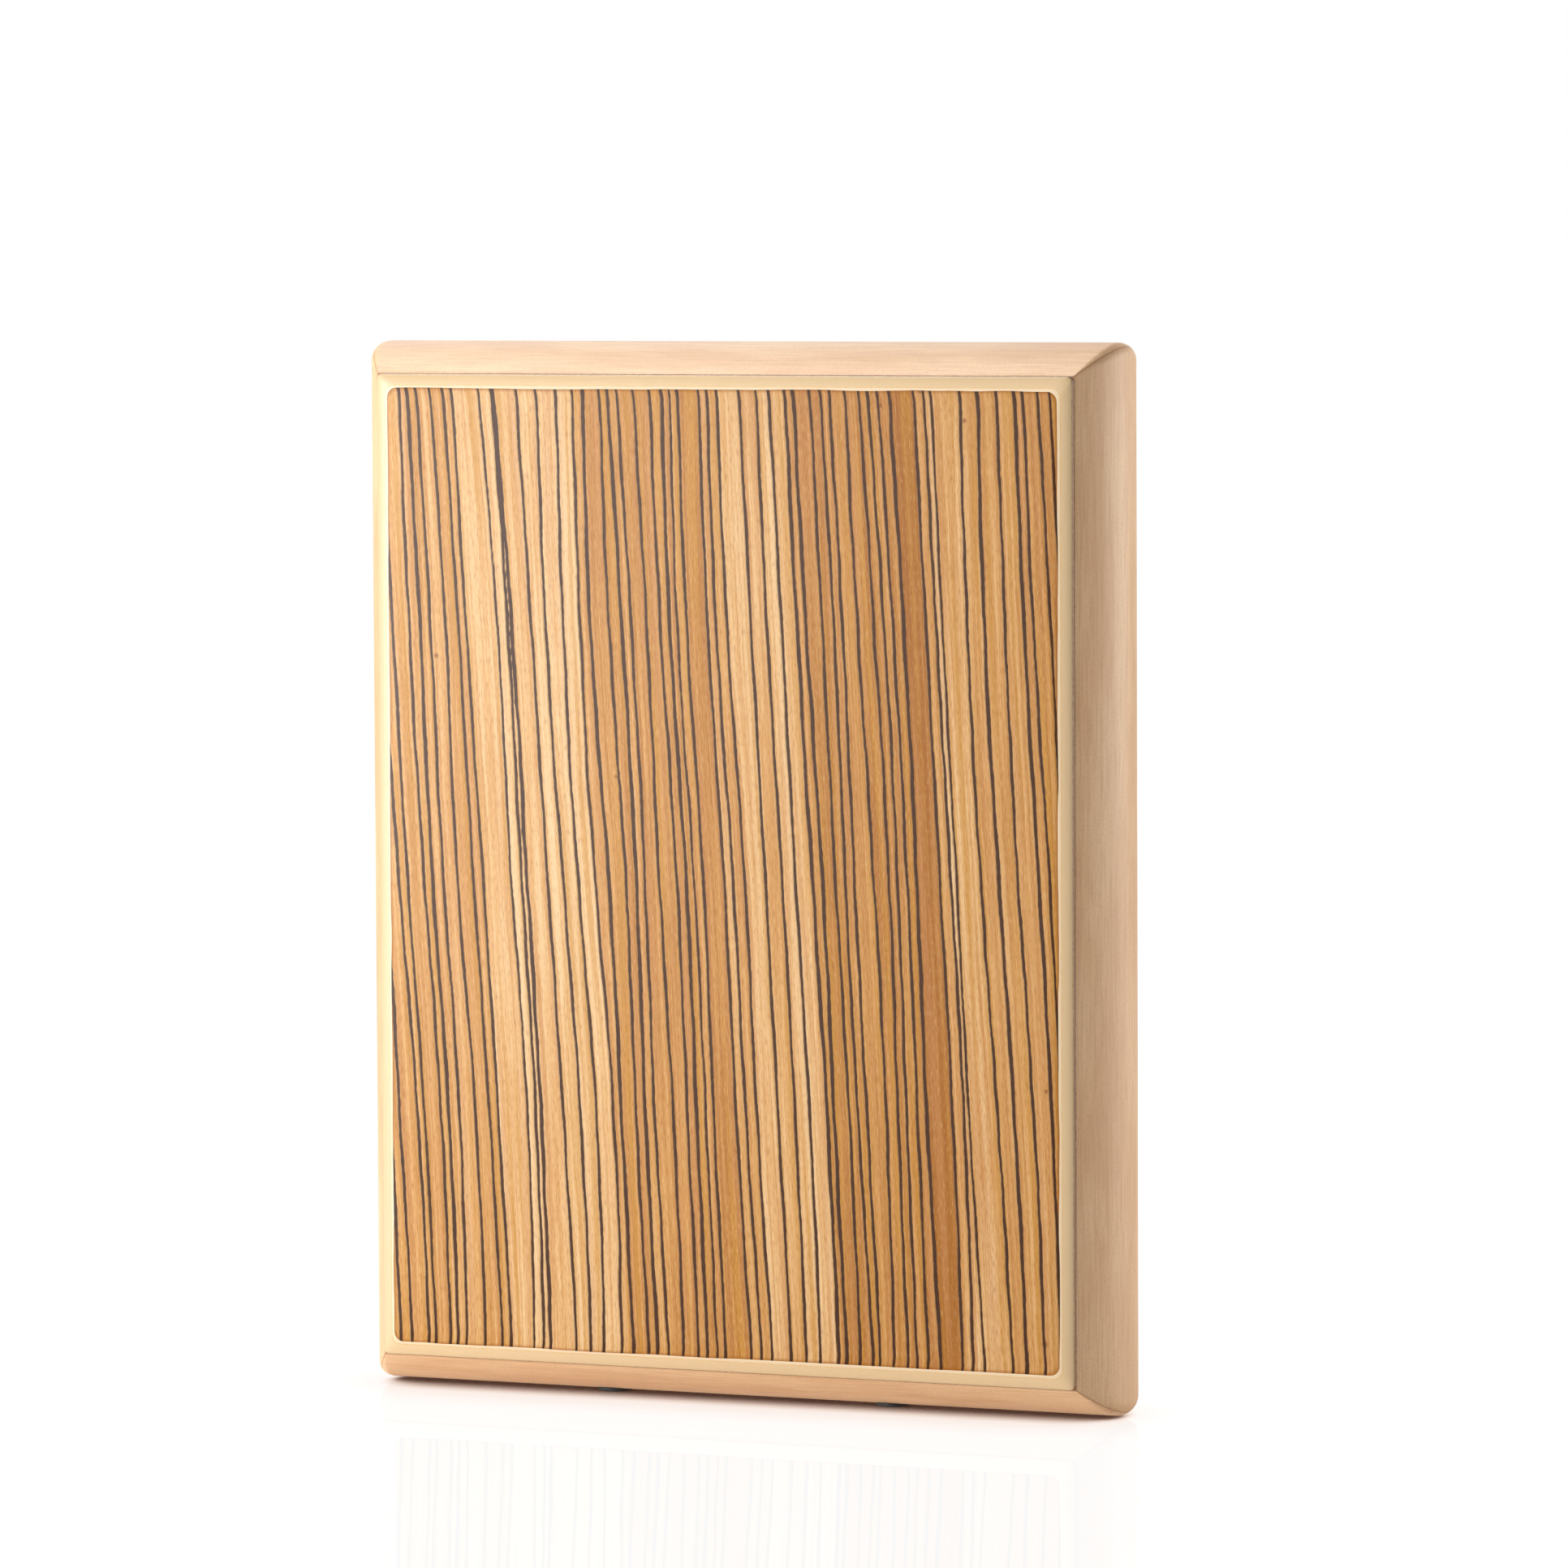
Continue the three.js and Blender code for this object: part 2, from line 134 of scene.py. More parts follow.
# A mesh object at the origin, with its faces turned outwards and its shading sharp past an angle
def makePiece(name, points, faceBlocks, sharpAngle=30, attributes=None):
    mesh = bpy.data.meshes.new(name)
    faces = [face for block in faceBlocks for face in block.tolist()]
    mesh.from_pydata(points.tolist(), [], faces)
    shell = bmesh.new()
    shell.from_mesh(mesh)
    bmesh.ops.recalc_face_normals(shell, faces=shell.faces)
    shell.to_mesh(mesh)
    shell.free()
    for key, values in (attributes or {}).items():
        isVector = values.ndim == 2
        layer = mesh.attributes.new(key, "FLOAT_VECTOR" if isVector else "FLOAT", "POINT")
        layer.data.foreach_set("vector" if isVector else "value", values.astype(np.float32).ravel())
    mesh.polygons.foreach_set("use_smooth", np.ones(len(mesh.polygons), bool))
    mesh.set_sharp_from_angle(angle=math.radians(sharpAngle))
    piece = bpy.data.objects.new(name, mesh)
    bpy.context.scene.collection.objects.link(piece)
    return piece


# A modifier's result becomes the piece's own mesh
def applyModifiers(piece, sharpAngle=30):
    bpy.context.view_layer.update()
    evaluated = piece.evaluated_get(bpy.context.evaluated_depsgraph_get())
    mesh = bpy.data.meshes.new_from_object(evaluated)
    piece.modifiers.clear()
    piece.data = mesh
    mesh.polygons.foreach_set("use_smooth", np.ones(len(mesh.polygons), bool))
    mesh.set_sharp_from_angle(angle=math.radians(sharpAngle))


def settle(piece, material, slot, *nodes):
    piece.data.materials.clear()
    piece.data.materials.append(material)
    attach(piece, "root")
    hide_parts(*nodes)


# The turn that lays +Z along a direction
def turnTo(direction):
    return np.array(Vector((0, 0, 1)).rotation_difference(Vector(direction)).to_matrix())


# A closed profile of (radius, height) points turned round an axis through place, along direction
def latheShape(profile, steps, place, direction):
    angle = np.linspace(0, 2 * math.pi, steps, endpoint=False)
    radius, height = np.asarray(profile, float).T
    radius, height = radius[:, None], height[:, None] + 0 * angle
    local = np.stack([radius * np.cos(angle), radius * np.sin(angle), height], axis=-1).reshape(-1, 3)
    return local @ turnTo(direction).T + np.asarray(place), [gridQuads(len(radius), steps, True, True)]


# Points of a quarter turn that rounds a corner, between the points before and after it:
# (1 - t)^2 before + 2 t (1 - t) corner + t^2 after
def roundedCorner(before, corner, after, steps):
    t = np.linspace(0, 1, steps)[:, None]
    before, corner, after = (np.asarray(p, float) for p in (before, corner, after))
    return (1 - t) ** 2 * before + 2 * t * (1 - t) * corner + t**2 * after


# Material tools
def colour(code):
    channels = [int(code[i : i + 2], 16) / 255 for i in (1, 3, 5)]
    linear = [c / 12.92 if c <= 0.04045 else ((c + 0.055) / 1.055) ** 2.4 for c in channels]
    return (*linear, 1.0)


# Adds a node: settings go to the node, and stops fill a colour ramp. Inputs are values, colour codes,
# sockets or nodes, either in the sockets' order or by their name or number.
def addNode(tree, kind, inputs=(), stops=None, **settings):
    node = tree.nodes.new("ShaderNode" + kind)
    for key, value in settings.items():
        setattr(node, key, value)
    for key, value in inputs.items() if isinstance(inputs, dict) else enumerate(inputs):
        if isinstance(key, int):
            socket = node.inputs[key]
        else:
            socket = next(s for s in node.inputs if s.enabled and s.name == key)
        if isinstance(value, bpy.types.Node):
            value = next(s for s in value.outputs if s.enabled)
        if isinstance(value, bpy.types.NodeSocket):
            tree.links.new(value, socket)
        else:
            socket.default_value = colour(value) if isinstance(value, str) else value
    if stops:
        ramp = node.color_ramp
        while len(ramp.elements) < len(stops):
            ramp.elements.new(0.5)
        for element, (position, code) in zip(ramp.elements, stops):
            element.position = position
            element.color = colour(code)
    return node


def newMaterial(name):
    material = bpy.data.materials.new(name)
    material.use_nodes = True
    tree = material.node_tree
    return material, tree, tree.nodes["Principled BSDF"]


# Settings of the nodes that fade between two values, and of those that mix two colours
smoothly = {"interpolation_type": "SMOOTHSTEP"}
ofColour = {"data_type": "RGBA"}


# Noise drawn out along the grain: coords run along X, and the two sizes are real ones across and along
def grainNoise(tree, coords, across, along, detail=2.0, roughness=0.5):
    stretched = addNode(tree, "Mapping", {"Vector": coords, "Scale": (1 / along, 1 / across, 1 / across)})
    inputs = {"Vector": stretched, "Scale": 1.0, "Detail": detail, "Roughness": roughness}
    return addNode(tree, "TexNoise", inputs)


# A colour laid over another where a noise or a distance says so. The layer holds the two values that
# it fades between, its strength at both, and its colour.
def overlay(tree, under, value, layer):
    *fade, tint = layer
    strength = addNode(tree, "MapRange", (value, *fade), **smoothly)
    return addNode(tree, "Mix", {"Factor": strength, "A": under, "B": tint}, **ofColour)


# A surface's colour, the values of its shader's own sockets, and its relief along a pattern
def finishSurface(tree, shader, tint, look, pattern):
    tree.links.new(tint.outputs[2], shader.inputs["Base Color"])
    for socket, value in look["sockets"].items():
        shader.inputs[socket].default_value = value
    if "relief" in look:
        relief = addNode(tree, "Bump", {"Height": pattern, "Distance": look["relief"], "Strength": 1.0})
        tree.links.new(relief.outputs["Normal"], shader.inputs["Normal"])


# Brown glue stain and painted shade along the joints of panels and frame, and how far its edge wanders
stainAndShade = {"colour": "#7D4A2B", "grain": 1.6 * mm, "ragged": 0.5 * mm}


def raggedFrom(tree, place, distance, roughness=0.5):
    inputs = {"Vector": place, "Scale": 1 / stainAndShade["grain"], "Roughness": roughness}
    uneven = addNode(tree, "TexNoise", inputs)
    return addNode(tree, "Math", (uneven, -stainAndShade["ragged"], distance), operation="MULTIPLY_ADD")


# Distance from the drum's middle plane, and distances past the panels' edges across and up
def panelDistances(tree, place):
    axes = addNode(tree, "SeparateXYZ", {"Vector": place})
    fromMiddle = addNode(tree, "Math", (axes.outputs["Z"], middle), operation="SUBTRACT")
    across, deep, up = (
        addNode(tree, "Math", (offset,), operation="ABSOLUTE")
        for offset in (axes.outputs["X"], axes.outputs["Y"], fromMiddle)
    )
    overX = addNode(tree, "Math", (across, halfWidth), operation="SUBTRACT")
    overZ = addNode(tree, "Math", (up, halfHeight), operation="SUBTRACT")
    return deep, overX, overZ


# Turns that lay a material's grain along each axis
alongX = (0, 0, 0)
alongY = (0, 0, math.pi / 2)
alongZ = (0, math.pi / 2, 0)

# Sealed maple: the rails
mapleLook = {
    "pale": "#E8C195",
    # Layers, each as overlay takes it
    "body": (0.35, 0.65, 0, 1, "#DEB286"),
    "streak": (0.45, 0.8, 0, 0.35, "#C69365"),
    "line": (0.42, 0.75, 0, 0.5, "#BA855B"),
    "fleck": (0.45, 0.75, 0, 0.28, "#BF8B61"),
    # The joint and mitre lines: glue stain and painted shade where the parts meet
    "joint": (-0.25 * mm, 0.25 * mm, 0.75, 0, stainAndShade["colour"]),
    "mitre": (0, 0.4 * mm, 0.65, 0, stainAndShade["colour"]),
    "creep": (-1.5 * mm, 0.1 * mm, 0.55, 0, "#BF8B61"),
    # Noises: size across, size along, detail and roughness
    "wander": (30 * mm, 200 * mm),
    "streaks": (1.5 * mm, 170 * mm, 3),
    "fine": (0.42 * mm, 22 * mm, 3, 0.6),
    "ripple": (1.6 * mm, 0.45 * mm, 2),
    "clouds": (14 * mm, 60 * mm),
    "bend": 4 * mm,  # by which the growth lines wander
    "stainRoughness": 0.6,
    "creepReach": 2.5 * mm,
    "blotch": 9 * mm,
    "sockets": {"Roughness": 0.46, "IOR": 1.45, "Specular IOR Level": 0.6},
    "relief": 0.01 * mm,
}


# Hard maple, planed and sanded, then sealed with satin lacquer: a pale close wood with fine soft
# growth lines along each rail and, across them, the short ripple of its rays. Glue has stained
# the joints brown and has crept into the end grain beside the mitres, and the dark lines along the
# joints and mitres are glue stain with painted shade in the crease.
def sealedMaple(name, grainTurn, shift, look):
    material, tree, shader = newMaterial(name)
    place = addNode(tree, "TexCoord").outputs["Object"]
    along = addNode(tree, "Mapping", {"Vector": place, "Location": shift, "Rotation": grainTurn})
    wander = grainNoise(tree, along, *look["wander"])
    bend = {0: wander.outputs["Color"], 1: (0, look["bend"], look["bend"]), 2: along}
    bent = addNode(tree, "VectorMath", bend, operation="MULTIPLY_ADD")
    streaks, fine, ripple = (grainNoise(tree, bent, *look[key]) for key in ("streaks", "fine", "ripple"))
    clouds = grainNoise(tree, along, *look["clouds"])

    wood = overlay(tree, look["pale"], clouds, look["body"])
    wood = overlay(tree, wood, streaks, look["streak"])
    wood = overlay(tree, wood, fine, look["line"])
    wood = overlay(tree, wood, ripple, look["fleck"])

    # Glue stain and painted shade along the panels' joints, and along the mitres, where both outer distances
    # are equal
    deep, overX, overZ = panelDistances(tree, place)
    toPanel = addNode(tree, "Math", (halfDepth, deep), operation="SUBTRACT")
    ragged = raggedFrom(tree, place, toPanel, look["stainRoughness"])
    wood = overlay(tree, wood, ragged, look["joint"])
    apart = addNode(tree, "Math", (overX, overZ), operation="SUBTRACT")
    fromMitre = addNode(tree, "Math", (apart,), operation="ABSOLUTE")
    wood = overlay(tree, wood, fromMitre, look["mitre"])
    blotch = addNode(tree, "TexNoise", {"Vector": place, "Scale": 1 / look["blotch"]})
    creep = addNode(tree, "Math", (blotch, -look["creepReach"], fromMitre), operation="MULTIPLY_ADD")
    wood = overlay(tree, wood, creep, look["creep"])
    finishSurface(tree, shader, wood, look, fine)
    return material


# Planed beech: the joinery inside
beechLook = {
    "pale": "#DDB98F",
    "body": (0.35, 0.65, 0, 1, "#CFA277"),
    "fleck": (0.57, 0.68, 0, 0.6, "#A87446"),
    "streaks": (1.8 * mm, 70 * mm, 3),
    "flecks": (0.3 * mm, 2.4 * mm, 1),
    "sockets": {"Roughness": 0.62},
    "relief": 0.03 * mm,
}


# European beech, planed and left bare: pinkish brown, with many short dark flecks along the grain
def planedBeech(name, grainTurn, look):
    material, tree, shader = newMaterial(name)
    place = addNode(tree, "TexCoord").outputs["Object"]
    along = addNode(tree, "Mapping", {"Vector": place, "Rotation": grainTurn})
    streaks, flecks = (grainNoise(tree, along, *look[key]) for key in ("streaks", "flecks"))
    wood = overlay(tree, look["pale"], streaks, look["body"])
    wood = overlay(tree, wood, flecks, look["fleck"])
    finishSurface(tree, shader, wood, look, flecks)
    return material


# Cream plywood: the playing face's core and the back
plywoodLook = {
    "face": "#CFAE87",
    "streak": (0.45, 0.75, 0, 0.8, "#C19B6D"),
    "line": (0.5, 0.75, 0, 0.3, "#C19B6D"),
    "edgeLine": (0.5, 0.8, 0, 0.18, "#C19B6D"),
    "ply": "#D1B48B",
    "topPly": "#DAC09D",
    "glue": "#CFA050",
    # glue stain and painted shade on the plies next to the joint
    "stainedAndShaded": (0.45 * mm, 1.2 * mm, 0.8, 0),  # fades upwards from the joint
    "outside": (-1.0 * mm, -0.5 * mm),
    "sloped": (0.02 * mm, 0.12 * mm),
    "within": (0.0, 0.02 * mm),
    "glueDepth": 0.56 * mm,  # below the panel's outer face
    "glueWidth": 0.05 * mm,
    "glueWave": 0.05 * mm,
    "waves": 9 * mm,
    "specks": 1.2 * mm,
    "speckled": (0.3, 0.6, 0.35, 0.9),
    "streaks": (1.4 * mm, 90 * mm, 3),
    "fine": (0.35 * mm, 12 * mm),
    "sockets": {"Roughness": 0.4, "IOR": 1.45, "Specular IOR Level": 0.55},
    "relief": 0.01 * mm,
}


# Pale birch plywood with a sanded round edge under satin lacquer: the cut slopes through the plies,
# so the glue between two of them shows as one thin amber line all the way round.
def creamPlywood(name, look):
    material, tree, shader = newMaterial(name)
    place = addNode(tree, "TexCoord").outputs["Object"]
    upright = addNode(tree, "Mapping", {"Vector": place, "Rotation": alongZ})
    streaks, fine = (grainNoise(tree, upright, *look[key]) for key in ("streaks", "fine"))
    face = overlay(tree, look["face"], streaks, look["streak"])
    face = overlay(tree, face, fine, look["line"])

    # Depth below the outer face, the same in front and behind
    deep, overX, overZ = panelDistances(tree, place)
    depth = addNode(tree, "Math", (halfDepth + tapaThickness, deep), operation="SUBTRACT")
    waves = addNode(tree, "TexNoise", {"Vector": place, "Scale": 1 / look["waves"], "Detail": 3.0})
    plies = addNode(tree, "Math", (waves, look["glueWave"], depth), operation="MULTIPLY_ADD")
    level = look["glueDepth"] + look["glueWave"] / 2
    width = look["glueWidth"]
    edge = overlay(tree, look["topPly"], plies, (level - width, level + width, 0, 1, look["ply"]))
    above = addNode(tree, "MapRange", (plies, level - width, level), **smoothly)
    below = addNode(tree, "MapRange", (plies, level, level + width, 1, 0), **smoothly)
    specks = addNode(tree, "TexNoise", {"Vector": place, "Scale": 1 / look["specks"]})
    specks = addNode(tree, "MapRange", (specks, *look["speckled"]), **smoothly)
    line = addNode(tree, "Math", (above, below), operation="MULTIPLY")
    line = addNode(tree, "Math", (line, specks), operation="MULTIPLY")
    edge = addNode(tree, "Mix", {"Factor": line, "A": edge, "B": look["glue"]}, **ofColour)
    edge = overlay(tree, edge, fine, look["edgeLine"])

    # Glue stain and painted shade beside the joint with the frame, on the outside only
    toJoint = addNode(tree, "Math", (tapaThickness, depth), operation="SUBTRACT")
    ragged = raggedFrom(tree, place, toJoint)
    stainedAndShaded = addNode(tree, "MapRange", (ragged, *look["stainedAndShaded"]), **smoothly)
    over = addNode(tree, "Math", (overX, overZ), operation="MAXIMUM")
    outside = addNode(tree, "MapRange", (over, *look["outside"]), **smoothly)
    stainedAndShaded = addNode(tree, "Math", (stainedAndShaded, outside), operation="MULTIPLY")
    edge = addNode(tree, "Mix", {"Factor": stainedAndShaded, "A": edge, "B": stainAndShade["colour"]}, **ofColour)

    # The outer ply runs out where the rounding cuts under it, and the inner one is the side indoors
    sloped = addNode(tree, "MapRange", (depth, *look["sloped"]), **smoothly)
    within = addNode(tree, "MapRange", (toJoint, *look["within"]), **smoothly)
    shown = addNode(tree, "Math", (sloped, within), operation="MULTIPLY")
    wood = addNode(tree, "Mix", {"Factor": shown, "A": face, "B": edge}, **ofColour)
    finishSurface(tree, shader, wood, look, fine)
    return material


# Zebrano veneer: the playing face
zebranoLook = {
    "tones": [(0.0, "#975D22"), (0.3, "#AB753A"), (0.55, "#BF8C50"), (0.8, "#CFA470"), (1.0, "#D9B78A")],
    "stripe": "#402616",
    "knot": "#753D19",
    "knotSpread": (0.2, 0.7),  # share of its radius with full colour, and the strength there
    # Layers, each as overlay takes it
    "ochre": (0.5, 0.68, 0, 0.55, "#B5802F"),
    "rose": (0.5, 0.34, 0, 0.4, "#B47D4D"),
    "fleck": (0.5, 0.78, 0, 0.5, "#894B1E"),
    "paleFleck": (0.45, 0.25, 0, 0.25, "#E1C290"),
    "feather": (0, 0.2 * mm, 0.7, 0, "#8E4F16"),  # where the veneer is thin
    "shadow": (0, 0.8, 0.5, 0, "#846541"),  # before each line
    "glint": (0.6, 0.78, 0, 0.5, "#7A6052"),
    "core": (-0.004 * mm, 0.012 * mm, 1, 0, "#E0CDAC"),
    # What a noise adds: the two values that it goes between, and what it gives at both
    "broadTone": (0.25, 0.75, -0.2, 0.2),
    "fineTone": (0.3, 0.7, -0.09, 0.09),
    "fray": (0.3, 0.7, -0.1, 0.1),
    "worn": (0.35, 0.65, 0, 0.06 * mm),  # thickness at which the sanding breaks through to the core
    "softEdge": (-0.16, 0.1, 1, 0),  # the stripe's strength over the distance to its edge
    # Noises: size across, size along and detail
    "broad": (1.7 * mm, 150 * mm, 2),
    "fine": (0.5 * mm, 14 * mm, 2),
    "pores": (0.32 * mm, 3.6 * mm, 1),
    "frayed": (1.0 * mm, 4.0 * mm, 1),
    "glints": (0.15 * mm, 0.8 * mm, 1),
    "hue": (3.5 * mm, 300 * mm, 1),
    "waver": 45 * mm,
    "sockets": {"Roughness": 0.3, "IOR": 1.45, "Specular IOR Level": 0.13},
    "relief": 0.01 * mm,
}


# Zebrano sliced on the quarter, sanded and lacquered satin: near black lines with one crisp and
# one soft side, on gold and rose wood full of fine upright pores. Towards the rim the sanding
# thins it to nothing on an uneven line, and just inside that it soaks up more lacquer and turns
# a deeper orange.
def lacqueredZebrano(name, look, knots):
    material, tree, shader = newMaterial(name)
    place = addNode(tree, "TexCoord").outputs["Object"]
    grain = addNode(tree, "Attribute", attribute_name="grain").outputs["Vector"]
    stripe, toNext, tone, cream = (
        addNode(tree, "Attribute", attribute_name=key).outputs["Fac"]
        for key in ("stripe", "toNext", "tone", "cream")
    )

    broad, fine, pores, frayed, glints, hue = (
        grainNoise(tree, grain, *look[key])
        for key in ("broad", "fine", "pores", "frayed", "glints", "hue")
    )

    drift = addNode(tree, "MapRange", (broad, *look["broadTone"]), **smoothly)
    toned = addNode(tree, "Math", (tone, drift), operation="ADD")
    ripple = addNode(tree, "MapRange", (fine, *look["fineTone"]), **smoothly)
    toned = addNode(tree, "Math", (toned, ripple), operation="ADD", use_clamp=True)
    wood = addNode(tree, "ValToRGB", {"Fac": toned}, stops=look["tones"])
    wood = overlay(tree, wood, hue, look["ochre"])
    wood = overlay(tree, wood, hue, look["rose"])
    wood = addNode(tree, "Mix", {"Factor": cream, "A": wood, "B": look["tones"][-1][1]}, **ofColour)
    wood = overlay(tree, wood, pores, look["fleck"])
    wood = overlay(tree, wood, pores, look["paleFleck"])

    full, strength = look["knotSpread"]
    for across, up, radius in knots:
        ends = {0: place, 1: (across, veneerBox[0].y, up)}
        gap = addNode(tree, "VectorMath", ends, operation="DISTANCE").outputs["Value"]
        wood = overlay(tree, wood, gap, (full * radius, radius, strength, 0, look["knot"]))

    # Thickness left by the sanding, less the uneven depth at which the core breaks through
    axes = addNode(tree, "SeparateXYZ", {"Vector": place})
    left = addNode(tree, "Math", (veneerBox[1].y, axes.outputs["Y"]), operation="SUBTRACT")
    waver = addNode(tree, "TexNoise", {"Vector": place, "Scale": 1 / look["waver"], "Detail": 3.0})
    bite = addNode(tree, "MapRange", (waver, *look["worn"]), **smoothly)
    left = addNode(tree, "Math", (left, bite), operation="SUBTRACT")
    wood = overlay(tree, wood, left, look["feather"])

    wood = overlay(tree, wood, toNext, look["shadow"])
    ragged = addNode(tree, "MapRange", (frayed, *look["fray"]), **smoothly)
    toEdge = addNode(tree, "Math", (stripe, ragged), operation="ADD")
    dark = addNode(tree, "MapRange", (toEdge, *look["softEdge"]), **smoothly)
    ink = overlay(tree, look["stripe"], glints, look["glint"])
    wood = addNode(tree, "Mix", {"Factor": dark, "A": wood, "B": ink}, **ofColour)
    wood = overlay(tree, wood, left, look["core"])
    finishSurface(tree, shader, wood, look, pores)
    return material


# Metals, felt and rubber, whose colour follows one even noise
plainLooks = {
    # Zinc plated screw steel, cold headed: a cool bright metal, slightly blotched by the plating
    "zincSteel": {
        "grain": 1.5 * mm,
        "detail": 4.0,
        "colour": "#C9CAC6",
        "blotch": (0.35, 0.65, 0, 1, "#AEB0AE"),
        "polish": (0.3, 0.7, 0.25, 0.42),
        "sockets": {"Metallic": 1.0},
    },
    # Bright drawn spring steel, soft soldered to its strip: a mirror-like grey with dull tin blobs
    "snareSteel": {
        "grain": 0.6 * mm,
        "detail": 3.0,
        "colour": "#C4C6C9",
        "blotch": (0.3, 0.7, 0, 1, "#A4A6A9"),
        "polish": (0.3, 0.7, 0.2, 0.35),
        "sockets": {"Metallic": 1.0},
    },
    # Pressed wool felt: matted dark fibres with a few pale ones, and no gloss at all
    "woolFelt": {
        "grain": 0.5 * mm,
        "detail": 6.0,
        "colour": "#2A2A2D",
        "blotch": (0.4, 0.7, 0, 1, "#4B4A4D"),
        "relief": 0.2 * mm,
        "sockets": {"Roughness": 1.0, "Sheen Weight": 0.4},
    },
    # Moulded black rubber: dark grey, matt, with a faint grain from its mould
    "mouldedRubber": {
        "grain": 0.8 * mm,
        "detail": 4.0,
        "colour": "#191918",
        "blotch": (0.4, 0.75, 0, 1, "#2C2B2A"),
        "relief": 0.03 * mm,
        "sockets": {"Roughness": 0.7},
    },
}


def plainMaterial(name, look):
    material, tree, shader = newMaterial(name)
    place = addNode(tree, "TexCoord").outputs["Object"]
    inputs = {"Vector": place, "Scale": 1 / look["grain"], "Detail": look["detail"]}
    noise = addNode(tree, "TexNoise", inputs)
    tint = overlay(tree, look["colour"], noise, look["blotch"])
    finishSurface(tree, shader, tint, look, noise)
    if "polish" in look:
        polish = addNode(tree, "MapRange", (noise, *look["polish"]), **smoothly)
        tree.links.new(polish.outputs["Result"], shader.inputs["Roughness"])
    return material


plywood = creamPlywood("creamPlywood", plywoodLook)
plainFinish = {name: plainMaterial(name, look) for name, look in plainLooks.items()}


# Rails
rail = {
    "splineWidth": 16 * mm,
    "splineLength": 40 * mm,
    "splineThickness": 4 * mm,
    "splineInset": 14 * mm,
    "splineClearance": 0.3 * mm,
    "arris": 0.35 * mm,  # sanded corners of the section
    "arrisSteps": 5,
    "flatSteps": 7,
    "bullnoseSteps": 72,
    "stations": 81,
    "endStations": 14,  # rings close together over each rounded corner
    "mitreGap": 0.06 * mm,
    "cornerRound": 6 * mm,  # at the ridge, running out to nothing at the panels
    "boreDiameter": 15.6 * mm,
    "boreDepth": 3 * mm,
    "pilotDiameter": 3.1 * mm,
    "pilotDepth": 12.9 * mm,  # below the ridge
    "boreSteps": 64,
    "tuck": 0.06,  # half of the turns that a sanded corner takes
}


# The rail's section as (depth, height) points, height zero at the panel's edge, with a place in
# turns for each: 0 to 1 up the front edge, 1 to 2 over the bullnose, 2 to 3 down the rear edge and
# 3 to 4 along the inner side. The bullnose is rise * (1 - (depth / half depth)^2).
def railSection(r):
    a = r["arris"]
    over = halfDepth - a

    def nose(depth):
        return rise * (1 - (depth / halfDepth) ** 2)

    corners = [(-halfDepth, -land), (-halfDepth, 0), (halfDepth, 0), (halfDepth, -land)]
    before = [(-over, -land), (-halfDepth, -a), (over, nose(over)), (halfDepth, a - land)]
    after = [(-halfDepth, a - land), (-over, nose(-over)), (halfDepth, -a), (over, -land)]
    tuck = r["tuck"]
    points, turns = [], []
    for side in range(4):
        points.append(roundedCorner(before[side], corners[side], after[side], r["arrisSteps"]))
        turns.append(np.linspace(side - tuck, side + tuck, r["arrisSteps"]))
        steps = r["bullnoseSteps"] if side == 1 else r["flatSteps"]
        t = np.linspace(0, 1, steps + 2)[1:-1]
        start, end = np.array(after[side]), np.array(before[(side + 1) % 4])
        stretch = start + t[:, None] * (end - start)
        if side == 1:
            stretch[:, 1] = nose(stretch[:, 0])
        points.append(stretch)
        turns.append(side + tuck + t * (1 - 2 * tuck))
    return np.concatenate(points), np.concatenate(turns)


# Rim of a spline's slot, as (depth, height) points that match the section's turn by turn
def slotRim(turns, r):
    halfLong = r["splineLength"] / 2 + r["splineClearance"]
    halfThick = (r["splineThickness"] / 2 + r["splineClearance"]) / math.sqrt(2)
    height = r["splineInset"] / math.sqrt(2) - land
    depths = [-halfLong, -halfLong, halfLong, halfLong, -halfLong]
    low, high = height - halfThick, height + halfThick
    heights = [low, high, high, low, low]
    place = turns % 4
    return np.stack([np.interp(place, range(5), depths), np.interp(place, range(5), heights)], axis=-1)


# A rail as rings of (along, depth, height) points. Each ring is the section, stretched so that
# both ends lie in their mitre planes: along = share * (half length + height - gap). The frame's
# corner is then sanded round: near it a point keeps its larger offset as its distance from the
# corner's centre. At each end the rings go on over the mitre's face to the slot's rim, down its
# walls and to its middle.
def railShape(halfLength, r):
    section, turns = railSection(r)
    rim = slotRim(turns, r)
    drop = (r["splineWidth"] / 2 + r["splineClearance"]) / math.sqrt(2)

    def ring(points, share, sink=0.0):
        along = share * (halfLength + points[:, 1] - r["mitreGap"] - sink)
        height = points[:, 1] + sink
        nose = rise * (1 - np.clip(points[:, 0] / halfDepth, -1, 1) ** 2)
        radius = r["cornerRound"] * nose / rise
        a = np.abs(along) - (halfLength + nose - radius)
        b = height - (nose - radius)
        drawn = np.where((a > 0) & (b > 0), np.maximum(a, b) / np.maximum(np.hypot(a, b), 1e-9), 1)
        along -= np.sign(along) * a * (1 - drawn)
        return np.column_stack([along, points[:, 0], height - b * (1 - drawn)])

    close = np.linspace(0.95, 1, r["endStations"])
    shares = np.concatenate([-close[::-1], np.linspace(-0.94, 0.94, r["stations"]), close])
    rings = [ring(rim, -1, drop), ring(rim, -1)]
    rings += [ring(section, share) for share in shares]
    rings += [ring(rim, 1), ring(rim, 1, drop)]
    return closedSkin(rings, [rings[0].mean(axis=0), rings[-1].mean(axis=0)])


